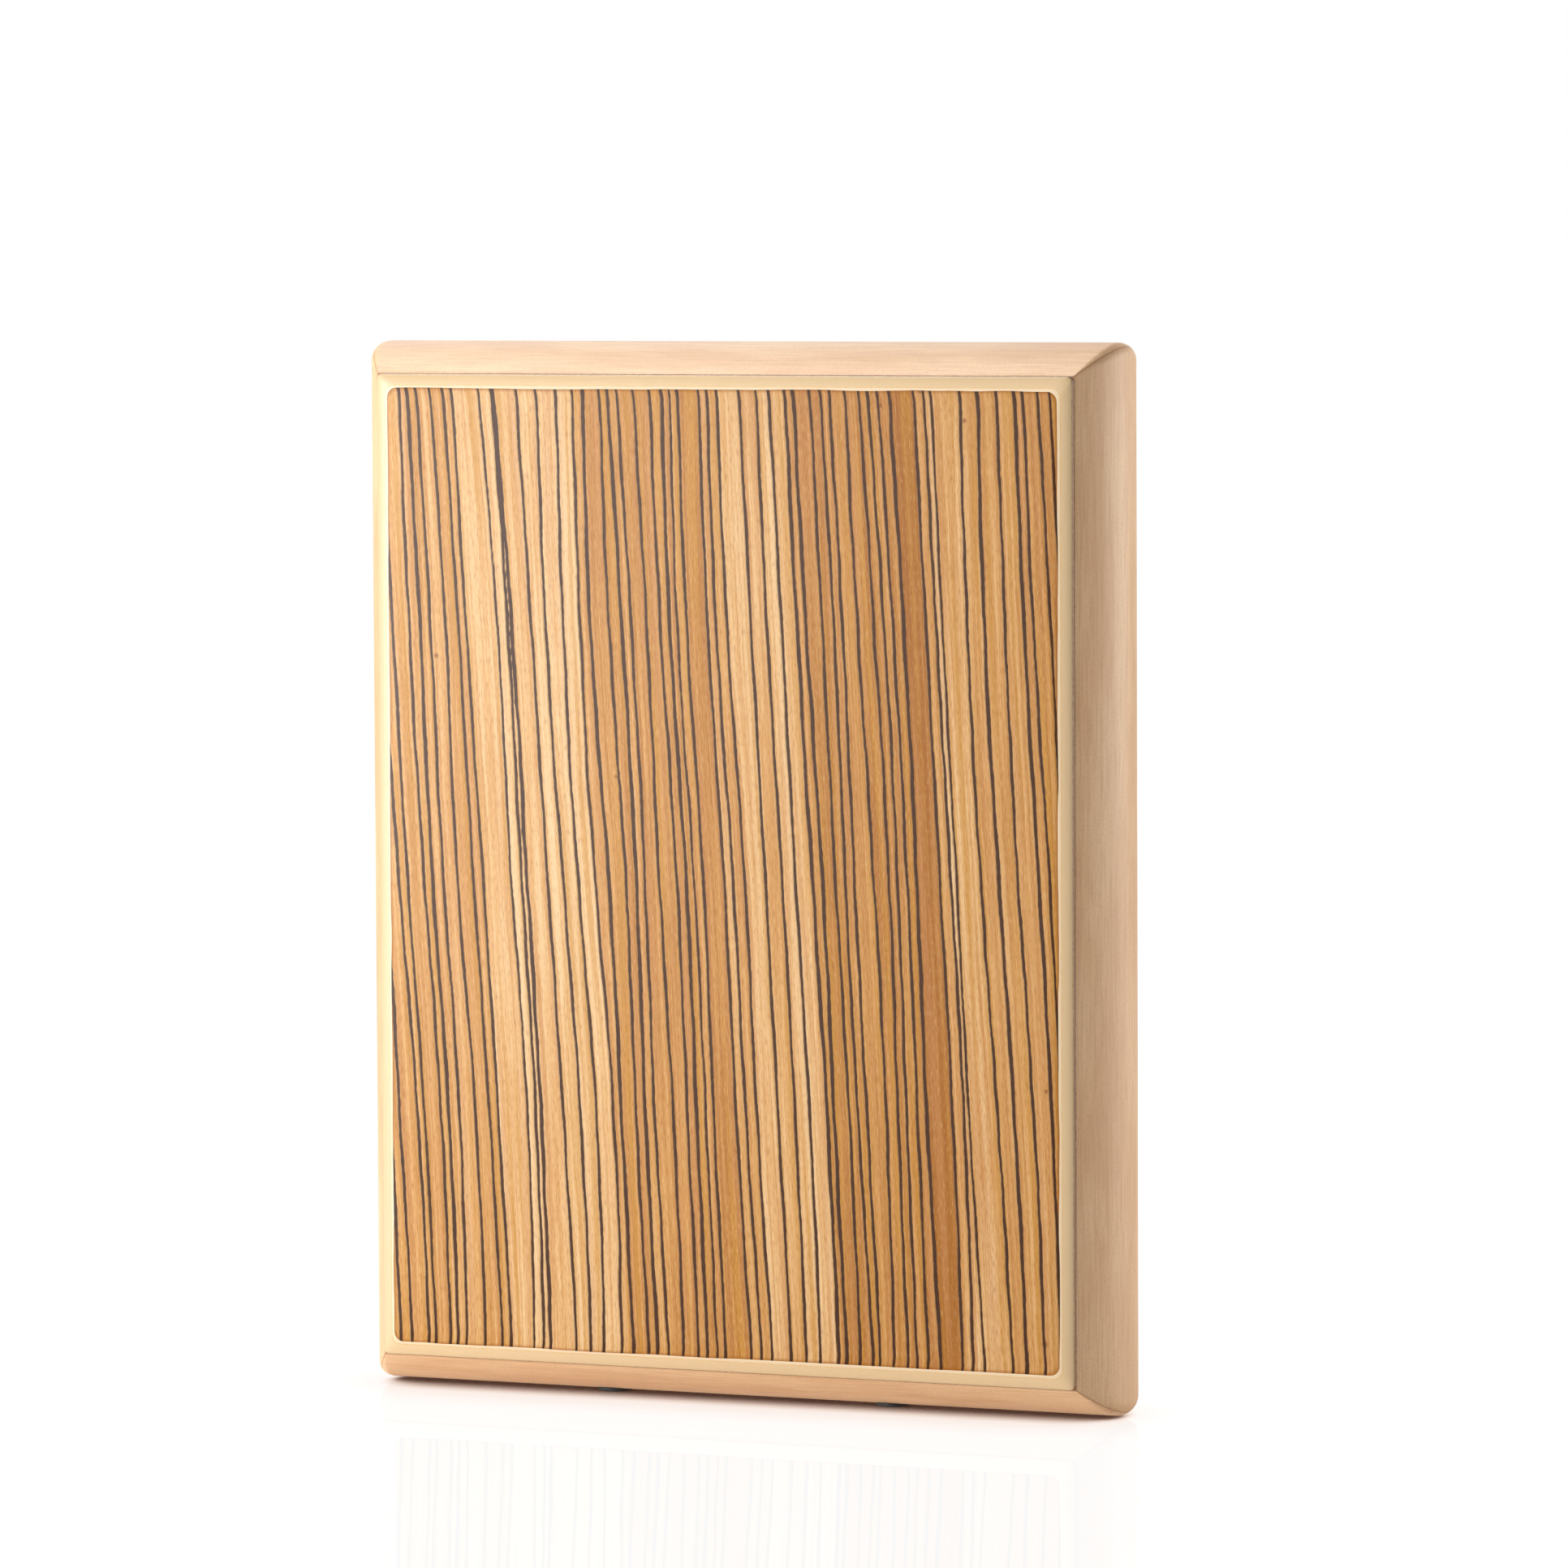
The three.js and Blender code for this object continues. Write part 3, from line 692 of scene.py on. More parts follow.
# Cutter for one foot: a wide shallow bore with a narrow pilot hole above it
def footCutter(across, r):
    ridge = railBox["bottom"][0].z
    bore, pilot = r["boreDiameter"] / 2, r["pilotDiameter"] / 2
    profile = [
        (1e-5, ridge - 2 * r["boreDepth"]),
        (bore, ridge - 2 * r["boreDepth"]),
        (bore, ridge + r["boreDepth"]),
        (pilot, ridge + r["boreDepth"]),
        (pilot, ridge + r["pilotDepth"]),
        (1e-5, ridge + r["pilotDepth"]),
    ]
    return latheShape(profile, r["boreSteps"], (across, 0, 0), (0, 0, 1))


# Each rail: half its inner length, the way it runs, its way out from the drum's middle and how far
# out it lies, and the turn and shift of its grain
railPlaces = {
    "top": (halfWidth, (1, 0, 0), (0, 0, 1), halfHeight, alongX, (0.0, 0.31, 0.17)),
    "bottom": (halfWidth, (-1, 0, 0), (0, 0, -1), halfHeight, alongX, (0.7, 0.12, 0.43)),
    "right": (halfHeight, (0, 0, -1), (1, 0, 0), halfWidth, alongZ, (0.2, 0.57, 0.29)),
    "left": (halfHeight, (0, 0, 1), (-1, 0, 0), halfWidth, alongZ, (0.4, 0.83, 0.61)),
}
footPlaces = [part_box(f"foot_{side}") for side in ("left", "right")]
footAcross = [(low.x + high.x) / 2 for low, high in footPlaces]


def addRails(r):
    for side, (half, alongAxis, outAxis, out, turn, shift) in railPlaces.items():
        local, faces = railShape(half, r)
        axes = np.array([alongAxis, (0, 1, 0), outAxis], float)
        points = local @ axes + np.array(outAxis) * out + np.array((0, 0, middle))
        piece = makePiece(f"{side}Rail", points, faces, 24)
        if side == "bottom":
            cutterShape = joinShapes([footCutter(across, r) for across in footAcross])
            cutter = makePiece("footCutter", *cutterShape)
            boolean = piece.modifiers.new("bores", "BOOLEAN")
            boolean.object = cutter
            boolean.solver = "EXACT"
            applyModifiers(piece, 24)
            bpy.data.objects.remove(cutter)
        maple = sealedMaple(f"sealedMaple{side.capitalize()}", turn, shift, mapleLook)
        settle(piece, maple, "maple_rail", f"{side}_rail")


addRails(rail)
print("rails made")


# Panels
panel = {
    "edgeLand": 0.5 * mm,
    "roundWidth": 11.8 * mm,
    "outerCorner": 2.5 * mm,
    "faceCorner": 6 * mm,
    "roundSteps": 28,
    "cornerSteps": 14,
    "sideSteps": 36,
    "support": 0.6 * mm,  # a ring just inside the flat, to keep its shading flat
    "landRound": 0.12 * mm,
}
cornerGrowth = (panel["faceCorner"] - panel["outerCorner"]) / panel["roundWidth"]


# Inset of the rounded edge at a height above the joint: width * (1 - sqrt(1 - s^2)), where s is
# the height above the land as a share of the rounding's own height
def insetAt(height, thickness, p):
    s = np.clip((height - p["edgeLand"]) / (thickness - p["edgeLand"]), 0, 1)
    return p["roundWidth"] * (1 - np.sqrt(1 - s**2))


# Height of the rounded edge at an inset, the same ellipse read the other way
def heightAt(inset, thickness, p):
    c = 1 - np.clip(inset / p["roundWidth"], 0, 1)
    return p["edgeLand"] + (thickness - p["edgeLand"]) * np.sqrt(1 - c**2)


# Rounded rectangle drawn in by an inset: four quarter circles joined by straight sides, as
# (across, up) points round the panel's middle
def panelOutline(inset, p):
    corner = p["outerCorner"] + cornerGrowth * min(inset, p["roundWidth"])
    centre = np.array([halfWidth - inset - corner, halfHeight - inset - corner])
    quarters = []
    for quarter in range(4):
        angle = math.pi / 2 * (quarter + np.linspace(0, 1, p["cornerSteps"] + 1))
        sign = np.array([1 if quarter in (0, 3) else -1, 1 if quarter < 2 else -1])
        quarters.append(sign * centre + corner * np.column_stack([np.cos(angle), np.sin(angle)]))
    ring = []
    for quarter in range(4):
        start, end = quarters[quarter][-1], quarters[(quarter + 1) % 4][0]
        t = np.linspace(0, 1, p["sideSteps"] + 1)[1:-1, None]
        ring += [quarters[quarter], start + t * (end - start)]
    return np.concatenate(ring)


# Insets and heights of the rings up a panel's edge, to the top height given
def edgeRings(thickness, top, p):
    last = math.asin(min(1, (top - p["edgeLand"]) / (thickness - p["edgeLand"])))
    t = np.linspace(0, last, p["roundSteps"])
    inset = p["roundWidth"] * (1 - np.cos(t))
    height = p["edgeLand"] + (thickness - p["edgeLand"]) * np.sin(t)
    land = [(p["landRound"], 0.0), (0.0, p["landRound"])]
    return land + list(zip(inset, height))


def addTapaCore(p):
    rings = edgeRings(tapaThickness, coreThickness, p)
    joint = -halfDepth
    levels = [np.insert(panelOutline(inset, p), 1, joint - height, axis=1) for inset, height in rings]
    points, faces = closedSkin(levels, [(0, joint, 0), (0, joint - coreThickness, 0)])
    settle(makePiece("tapaCore", points + (0, 0, middle), faces), plywood, "birch_plywood", "tapa_core")


addTapaCore(panel)

backHole = {
    "diameter": 100 * mm,
    "height": 165 * mm,
    "round": 1.2 * mm,
    "roundSteps": 8,
    "wallSteps": 6,
}


# The back as one closed grid: its rings go up the hole's wall and round its rim, over the outer
# face, round the panel's edge and home across the inner face.
def addBackPanel(p, hole):
    thickness = backBox[1].y - backBox[0].y
    joint = halfDepth
    flat = panelOutline(p["roundWidth"], p)
    centre = np.array([0, hole["height"] - middle])
    toward = flat - centre
    toward /= np.linalg.norm(toward, axis=1)[:, None]
    radius = hole["diameter"] / 2

    def circle(size, height):
        return np.insert(centre + toward * size, 1, joint + height, axis=1)

    wallTop = thickness - hole["round"]
    rings = [circle(radius, height) for height in np.linspace(0, wallTop, hole["wallSteps"])]
    for t in np.linspace(0, math.pi / 2, hole["roundSteps"] + 1)[1:]:
        out, up = hole["round"] * (1 - math.cos(t)), hole["round"] * math.sin(t)
        rings.append(circle(radius + out, wallTop + up))
    rings.append(circle(radius + hole["round"] + p["support"], thickness))
    outwards = edgeRings(thickness, thickness, p)[::-1]
    outwards.insert(0, (p["roundWidth"] + p["support"], thickness))
    rings += [np.insert(panelOutline(inset, p), 1, joint + height, axis=1) for inset, height in outwards]
    count = len(flat)
    points = np.concatenate(rings) + (0, 0, middle)
    piece = makePiece("backPanel", points, [gridQuads(len(rings), count, True, True)])
    settle(piece, plywood, "birch_plywood", "back_panel")


addBackPanel(panel, backHole)
print("plywood panels made")


# Playing face veneer
# Each line of the wood: its places across the face in millimetres at the five heights, its
# breadth (0 fine, 1 plain, 2 broad), and the tone of the wood to its right, from 0, deep orange,
# to 9, cream
stripeHeights = [425 * mm, 330 * mm, 226 * mm, 120 * mm, 26 * mm]
stripes = [
    (-174.5, -168.5, -162.5, -155.8, -151.6, 1, 5),
    (-169.0, -163.0, -157.0, -151.4, -146.2, 1, 5),
    (-163.5, -157.5, -151.4, -142.9, -138.1, 1, 6),
    (-158.0, -152.9, -147.2, -139.6, -134.8, 1, 5),
    (-149.1, -145.2, -139.2, -131.6, -127.7, 1, 6),
    (-145.2, -140.0, -135.2, -127.9, -124.1, 2, 5),
    (-140.8, -135.0, -130.0, -122.8, -119.9, 1, 6),
    (-134.1, -127.8, -123.3, -115.1, -111.0, 1, 5),
    (-127.9, -121.7, -115.6, -108.4, -103.0, 1, 5),
    (-123.7, -118.0, -111.0, -104.2, -98.6, 1, 7),
    (-110.8, -103.1, -97.6, -90.3, -87.7, 0, 8),
    (-104.7, -98.2, -92.6, -86.3, -83.1, 1, 7),
    (-104.0, -96.3, -90.1, -83.8, -80.0, 2, 7),
    (-93.2, -87.0, -80.3, -73.2, -67.6, 1, 8),
    (-83.8, -80.1, -73.0, -65.1, -60.8, 1, 8),
    (-74.6, -71.8, -65.9, -57.6, -54.6, 1, 8),
    (-66.9, -63.8, -57.8, -49.4, -46.2, 1, 5),
    (-62.0, -59.1, -51.4, -45.7, -40.9, 2, 4),
    (-54.1, -50.3, -43.3, -38.8, -33.7, 1, 4),
    (-50.2, -44.3, -38.4, -34.4, -29.4, 2, 5),
    (-45.8, -39.9, -34.3, -30.0, -24.3, 1, 4),
    (-38.1, -32.6, -27.6, -21.3, -17.2, 1, 4),
    (-30.6, -26.2, -19.4, -14.7, -10.1, 1, 4),
    (-25.1, -21.8, -15.0, -10.4, -6.0, 2, 4),
    (-21.2, -18.3, -11.3, -6.1, -1.6, 0, 5),
    (-17.6, -13.9, -7.0, -2.4, 2.5, 1, 3),
    (-7.8, -4.1, 2.7, 8.2, 14.3, 1, 6),
    (-3.9, -0.2, 6.9, 12.7, 19.2, 1, 5),
    (0.6, 4.9, 12.3, 17.8, 24.1, 1, 7),
    (11.1, 16.0, 21.9, 27.7, 33.0, 1, 6),
    (19.0, 23.4, 29.7, 35.5, 40.0, 1, 7),
    (24.9, 30.2, 35.9, 42.3, 46.6, 1, 7),
    (32.2, 37.3, 43.7, 50.4, 54.9, 2, 4),
    (36.1, 41.4, 48.3, 53.6, 58.7, 2, 3),
    (43.8, 48.9, 54.3, 60.6, 64.9, 1, 3),
    (48.6, 54.2, 58.9, 64.7, 70.8, 1, 4),
    (52.7, 58.2, 63.1, 68.8, 74.2, 1, 4),
    (59.8, 65.1, 71.9, 77.5, 80.5, 1, 3),
    (66.4, 72.6, 78.9, 82.9, 86.8, 1, 3),
    (70.4, 77.2, 82.8, 86.9, 91.0, 1, 4),
    (75.0, 81.3, 87.2, 91.9, 96.0, 1, 3),
    (80.2, 86.2, 91.6, 96.2, 101.9, 2, 1),
    (91.2, 96.4, 102.2, 108.0, 111.9, 1, 5),
    (95.9, 101.0, 107.2, 113.1, 116.6, 1, 7),
    (99.2, 103.9, 109.8, 115.6, 121.8, 0, 6),
    (112.0, 115.2, 120.9, 128.7, 134.6, 1, 5),
    (120.1, 122.9, 129.1, 136.2, 141.1, 2, 5),
    (128.8, 132.3, 137.7, 145.0, 149.3, 1, 5),
    (136.8, 140.9, 147.1, 153.2, 157.5, 2, 4),
    (140.7, 145.1, 152.0, 158.0, 162.5, 1, 4),
    (147.4, 153.0, 159.0, 165.0, 169.5, 1, 4),
    (152.8, 158.5, 164.5, 170.5, 175.0, 1, 4),
]
veneer = {
    "columns": 900,
    "flatRows": 74,
    "edgeRows": 9,
    "edgeBand": 6 * mm,  # rows lie closer together over the rounding
    "follow": 6.0,  # millimetres over which the grain follows the nearest lines
    "waveHeight": 0.17,  # millimetres that a line wanders to either side
    "waveLengths": (31, 73),
    "lineWidths": (1.15, 1.35, 1.65),  # millimetres: fine, plain and broad
    "haloReach": 1.6,  # millimetres before the next line over which the wood darkens, at most
    "swell": 0.13,  # share by which a line's width comes and goes
    "swellLength": 11,  # millimetres of height for each radian of it
    "creamStrength": 0.65,
    "creamFade": 30 * mm,
    "darkFade": 40 * mm,
    "stretch": 0.995,  # the whole figure, across the face
    "shift": -0.3,
    "slant": 1.7,  # sideways run of the lines for each millimetre of depth
    "seed": 5,
}
# Pale streaks: the number of the line that each follows, its offset to the left and its width in
# millimetres, and the heights that it fades between
creamStreaks = [
    (31, 1.5, 1.5, 40 * mm, 440 * mm),
    (44, 1.3, 1.0, 170 * mm, 440 * mm),
    (29, 3.0, 1.6, 180 * mm, 440 * mm),
    (10, -2.0, 2.4, 30 * mm, 260 * mm),
    (12, 1.4, 0.9, 60 * mm, 250 * mm),
]
# Dark streaks, where a line swells: given in the same way
darkStreaks = [(12, 0.4, 2.2, 390 * mm, 480 * mm)]
# Pin knots: across, up and radius
pinKnots = [
    (75 * mm, 425 * mm, 1.6 * mm),
    (93 * mm, 431 * mm, 1.4 * mm),
    (111.5 * mm, 431 * mm, 1.4 * mm),
    (113 * mm, 419 * mm, 1.6 * mm),
    (148 * mm, 34 * mm, 2.0 * mm),
    (149 * mm, 140 * mm, 1.4 * mm),
    (-132 * mm, 317 * mm, 1.6 * mm),
    (-47.5 * mm, 267 * mm, 1.3 * mm),
]


# A smooth curve through each line's five places: between two of them the cubic t^2 (3 - 2 t) mix
# of the straight pieces that meet there, so a line never kinks
def lineCurve(heights, places, at):
    order = np.argsort(heights)
    h, p = np.asarray(heights)[order], places[:, order]
    slope = np.gradient(p, h, axis=1)
    k = np.clip(np.searchsorted(h, at) - 1, 0, len(h) - 2)
    step = h[k + 1] - h[k]
    t = (at - h[k]) / step
    low = p[:, k] + slope[:, k] * (at - h[k])
    high = p[:, k + 1] + slope[:, k + 1] * (at - h[k + 1])
    blend = np.clip(t, 0, 1) ** 2 * (3 - 2 * np.clip(t, 0, 1))
    return low * (1 - blend) + high * blend


# The veneer is a height field over a grid that is pushed into a rounded rectangle: near a corner a
# point keeps its larger offset as its distance from the corner's centre. Its height follows the
# panel's rounded edge, and its glue side is one flat fan.
def addVeneer(p, v):
    rimInset = insetAt(coreThickness, tapaThickness, p)
    corner = p["outerCorner"] + cornerGrowth * rimInset
    reachX, reachZ = halfWidth - rimInset, halfHeight - rimInset
    columnsAt = np.linspace(-reachX, reachX, v["columns"])
    band = np.linspace(0, v["edgeBand"], v["edgeRows"], endpoint=False)
    flatRows = np.linspace(v["edgeBand"] - reachZ, reachZ - v["edgeBand"], v["flatRows"])
    rowsAt = np.concatenate([band - reachZ, flatRows, reachZ - band[::-1]])
    x, z = np.meshgrid(columnsAt, rowsAt)

    a, b = np.abs(x) - (reachX - corner), np.abs(z) - (reachZ - corner)
    inCorner = (a > 0) & (b > 0)
    reach = np.maximum(a, b)
    length = np.where(inCorner, np.hypot(a, b), 1)
    x = np.where(inCorner, np.sign(x) * (reachX - corner + a * reach / length), x)
    z = np.where(inCorner, np.sign(z) * (reachZ - corner + b * reach / length), z)

    # Inset of each point: its distance from the outline, solved in the corners from
    # (g i + r - a)^2 + (g i + r - b)^2 = (k i + r)^2, where i is the inset, r the outer corner's
    # radius, k its growth with the inset and g = 1 + k
    a, b = halfWidth - np.abs(x), halfHeight - np.abs(z)
    inset = np.minimum(a, b)
    r, k = p["outerCorner"], cornerGrowth
    g = 1 + k
    squared = 2 * g**2 - k**2
    linear = 2 * g * (2 * r - a - b) - 2 * k * r
    constant = (r - a) ** 2 + (r - b) ** 2 - r**2
    root = np.sqrt(np.maximum(linear**2 - 4 * squared * constant, 0))
    solved = (-linear + root) / (2 * squared)
    zone = g * solved + r
    inset = np.where((a < zone) & (b < zone), solved, inset)
    height = heightAt(inset, tapaThickness, p)
    points = np.stack([x, -halfDepth - height, z + middle], axis=-1).reshape(-1, 3)

    rows, columns = x.shape
    number = np.arange(rows * columns).reshape(rows, columns)
    ring = np.concatenate([number[0, :-1], number[:-1, -1], number[-1, :0:-1], number[:0:-1, 0]])
    points[ring, 1] = -halfDepth - coreThickness
    faces = [gridQuads(rows, columns), fanTriangles(ring, rows * columns)]
    points = np.concatenate([points, [(0, -halfDepth - coreThickness, middle)]])

    piece = makePiece("tapaVeneer", points, faces, attributes=figure(points, v))
    zebrano = lacqueredZebrano("lacqueredZebrano", zebranoLook, pinKnots)
    settle(piece, zebrano, "zebrano_veneer", "tapa_veneer")


# The wood's figure as point attributes. stripe is the distance to the nearest line's edge and
# toNext that to the edge of the next line to the right, in millimetres. tone is that of the wood
# between two lines, cream the strength of a pale streak, and grain the place in the wood before
# the lines were bent: it moves with the mean shift of the lines around, weighed by
# exp(-(distance / follow)^2). The lines run slantwise into the veneer, so they stand further to the
# left where more of it is sanded off.
def figure(points, v):
    table = np.array(stripes)
    sanded = (points[:, 1] - veneerBox[0].y) / mm
    x, up = points[:, 0] / mm + v["slant"] * sanded, points[:, 2]
    levels, level = np.unique(np.round(up, 7), return_inverse=True)
    places = table[:, :5] * v["stretch"] + v["shift"]
    centre = lineCurve(stripeHeights, places, levels)
    rng = np.random.default_rng(v["seed"])
    for waveLength in v["waveLengths"]:
        phase = rng.uniform(0, 2 * math.pi, (len(table), 1))
        stretch = rng.uniform(0.8, 1.25, (len(table), 1))
        size = v["waveHeight"] * rng.uniform(0.4, 1.0, (len(table), 1))
        centre += size * np.sin(2 * math.pi * levels / mm / (waveLength * stretch) + phase)
    swellPhase = rng.uniform(0, 2 * math.pi, (len(table), 1))
    swell = 1 + v["swell"] * np.sin(levels / mm / v["swellLength"] + swellPhase)
    halfLine = np.array(v["lineWidths"])[table[:, 5:6].astype(int)] / 2 * swell

    away = x[:, None] - centre.T[level]
    half = halfLine.T[level]
    stripe = (np.abs(away) - half).min(axis=1)
    ahead = np.where(away < 0, -away - half, v["haloReach"])
    toNext = np.clip(ahead.min(axis=1), -1, v["haloReach"])

    def fadeBetween(low, high, run):
        return np.clip((up - low) / run, 0, 1) * np.clip((high - up) / run, 0, 1)

    for line, offset, width, low, high in darkStreaks:
        fade = fadeBetween(low, high, v["darkFade"])
        stripe = np.minimum(stripe, np.abs(away[:, line] + offset) - width / 2 + 2 * (1 - fade))

    tones = np.insert(table[:, 6], 0, table[0, 6]) / 9
    tone = tones[(away > 0).sum(axis=1)]
    atMiddle = lineCurve(stripeHeights, places, np.array([middle]))[:, 0]
    weight = np.exp(-((away / v["follow"]) ** 2)) + 1e-9
    shift = (weight * (atMiddle - centre.T[level])).sum(axis=1) / weight.sum(axis=1)
    grain = np.column_stack([up, (x + shift) * mm, np.zeros(len(x))])

    cream = np.zeros(len(x))
    for line, offset, width, low, high in creamStreaks:
        off = (away[:, line] + offset) / (width / 2)
        cream = np.maximum(cream, np.exp(-(off**2)) * fadeBetween(low, high, v["creamFade"]))
    cream *= v["creamStrength"]
    return {"stripe": stripe, "toNext": toNext, "tone": tone, "cream": cream, "grain": grain}


addVeneer(panel, veneer)
print("veneer laid")


# Feet
foot = {
    "edgeRound": 0.7 * mm,
    "recess": 8 * mm,
    "recessDepth": 1.6 * mm,
    "hole": 3.1 * mm,
    "roundSteps": 6,
    "turnSteps": 72,
}


# A foot's section turned round its screw: a flat ring on the floor with rounded lips, a recess for
# the screw's head and a plain seat
def addFeet(f):
    for word, (low, high), across in zip(("Left", "Right"), footPlaces, footAcross):
        radius, top = (high.x - low.x) / 2, high.z
        hole, recess, lip = f["hole"] / 2, f["recess"] / 2, f["edgeRound"]
        small = lip / 2
        profile = [(hole, top), (hole, f["recessDepth"]), (recess, f["recessDepth"])]
        profile += roundedCorner((recess, small), (recess, 0), (recess + small, 0), f["roundSteps"]).tolist()
        profile += roundedCorner((radius - lip, 0), (radius, 0), (radius, lip), f["roundSteps"]).tolist()
        profile += [(radius, top - small), (radius - small, top)]
        shape = latheShape(profile, f["turnSteps"], (across, 0, 0), (0, 0, 1))
        piece = makePiece(f"foot{word}", *shape)
        settle(piece, plainFinish["mouldedRubber"], "black_rubber", f"foot_{word.lower()}")


addFeet(foot)

# Screws
screw = {
    "shank": 2.6 * mm,
    "core": 1.9 * mm,
    "pitch": 1.0 * mm,
    "head": 5.4 * mm,
    "headHeight": 1.4 * mm,
    "point": 2.5 * mm,
    "slotWidth": 0.75 * mm,
    "slotReach": 1.6 * mm,
    "slotDepth": 0.8 * mm,
    "slotSlope": 0.15 * mm,
    "tip": 0.02 * mm,  # radius left at the point
    "threadRings": 8,  # rings for each turn of the thread
    "turnSteps": 48,
    "headRings": 22,
    "eye": 0.04,  # the head's first ring, as a share of its radius
}


# A pan head screw with its seat at zero and its point along +Z. The head is a dome,
# height * sqrt(1 - 0.75 (r / R)^2), with a cross sunk into it. The thread is a ridge that climbs one
# pitch in a turn: the radius is core + depth * clip(2 r - 0.7), where r is
# 1 - |2 frac(z / pitch - turn) - 1|, drawn in to the point.
def screwShape(length, s):
    angle = np.linspace(0, 2 * math.pi, s["turnSteps"], endpoint=False)
    headRadius, shank, core = s["head"] / 2, s["shank"] / 2, s["core"] / 2
    share = np.linspace(s["eye"], 1, s["headRings"])[:, None]
    x, y = share * headRadius * np.cos(angle), share * headRadius * np.sin(angle)
    dome = s["headHeight"] * np.sqrt(1 - 0.75 * share**2) + 0 * x
    arm = np.minimum(np.abs(x), np.abs(y)) - s["slotWidth"] / 2
    reach = np.maximum(np.abs(x), np.abs(y)) - s["slotReach"]
    sunk = np.clip(-np.maximum(arm, reach) / s["slotSlope"], 0, 1)
    head = np.stack([x, y, -(dome - s["slotDepth"] * sunk)], axis=-1)
    wall = np.stack([headRadius * np.cos(angle), headRadius * np.sin(angle), 0 * angle], axis=-1)[None]

    along = np.linspace(0, length, int(s["threadRings"] * length / s["pitch"]))[:, None]
    climb = (along / s["pitch"] - angle / (2 * math.pi)) % 1
    ridge = 1 - np.abs(2 * climb - 1)
    taper = np.clip((length - along) / s["point"], 0, 1)
    radius = (core + (shank - core) * np.clip(2 * ridge - 0.7, 0, 1)) * taper + s["tip"]
    shaft = np.stack([radius * np.cos(angle), radius * np.sin(angle), along + 0 * angle], axis=-1)
    return closedSkin(np.concatenate([head, wall, shaft]), [(0, 0, head[0, 0, 2]), (0, 0, length)])


# Each pair of screws, left and right: the start of their CAD nodes' names, and the way they point
screwWays = {
    "foot_screw": (0, 0, 1),
    "cleat_screw": (0, -1, 0),
    "snare_screw_left": (0, 1, 0),
    "snare_screw_right": (0, 1, 0),
}


def addScrews(s):
    for stem, way in screwWays.items():
        way = np.array(way, float)
        for node in (f"{stem}_left", f"{stem}_right"):
            low, high = (np.array(corner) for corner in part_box(node))
            span = np.abs((high - low) @ way)
            start = np.where(way > 0, low, high) * np.abs(way) + (low + high) / 2 * (1 - np.abs(way))
            local, faces = screwShape(span - s["headHeight"], s)
            points = local @ turnTo(way).T + start + way * s["headHeight"]
            words = node.split("_")
            name = words[0] + "".join(word.capitalize() for word in words[1:])
            piece = makePiece(name, points, faces, 32)
            settle(piece, plainFinish["zincSteel"], "zinc_plated_steel", node)


addScrews(screw)
print("feet and screws fitted")

# Snare sets
snare = {
    "wires": 10,
    "coil": 1.8 * mm,
    "wire": 0.38 * mm,
    "pitch": 1.15 * mm,
    "spacing": 4.2 * mm,
    "length": 116 * mm,
    "lap": 6 * mm,
    "tilt": 6,  # degrees
    "plateHeight": 10 * mm,
    "plateThickness": 1.2 * mm,
    "lug": 9 * mm,
    "hole": 3.1 * mm,
    "sunk": 0.3 * mm,
    "turnSteps": 10,
    "wireSides": 5,
    "plateSteps": 48,
    "bead": (1.3 * mm, 0.55 * mm, 2.3 * mm),  # half its width, depth and length
    "beadDepth": 0.1 * mm,  # of its middle, in front of the plate
    "beadSteps": 10,
}


# One coiled wire along +Z. Its centre line is a helix, radius * (cos a, sin a) with the height
# pitch * a / 2 pi, and its skin is a circle round that line in the plane across it.
def coilShape(s):
    radius = (s["coil"] - s["wire"]) / 2
    turns = s["length"] / s["pitch"]
    a = np.linspace(0, 2 * math.pi * turns, int(turns * s["turnSteps"]))
    climb = s["pitch"] / (2 * math.pi)
    out = np.stack([np.cos(a), np.sin(a), 0 * a], axis=-1)
    line = radius * out + np.stack([0 * a, 0 * a, climb * a], axis=-1)
    tangent = np.stack([-radius * np.sin(a), radius * np.cos(a), climb + 0 * a], axis=-1)
    tangent /= np.linalg.norm(tangent, axis=1)[:, None]
    side = np.cross(tangent, out)
    w = np.linspace(0, 2 * math.pi, s["wireSides"], endpoint=False)[None, :, None]
    skin = line[:, None] + s["wire"] / 2 * (np.cos(w) * out[:, None] + np.sin(w) * side[:, None])
    return closedSkin(skin, line[[0, -1]])


# A bead of solder: an ellipsoid, longer along its wire
def beadShape(place, sizes, steps):
    u = np.linspace(0, math.pi, steps + 1)[1:-1, None]
    w = np.linspace(0, 2 * math.pi, 2 * steps, endpoint=False)
    unit = np.stack([np.sin(u) * np.cos(w), np.sin(u) * np.sin(w), np.cos(u) + 0 * w], axis=-1)
    points, faces = closedSkin(unit, [(0, 0, 1), (0, 0, -1)])
    return points * sizes + place, faces


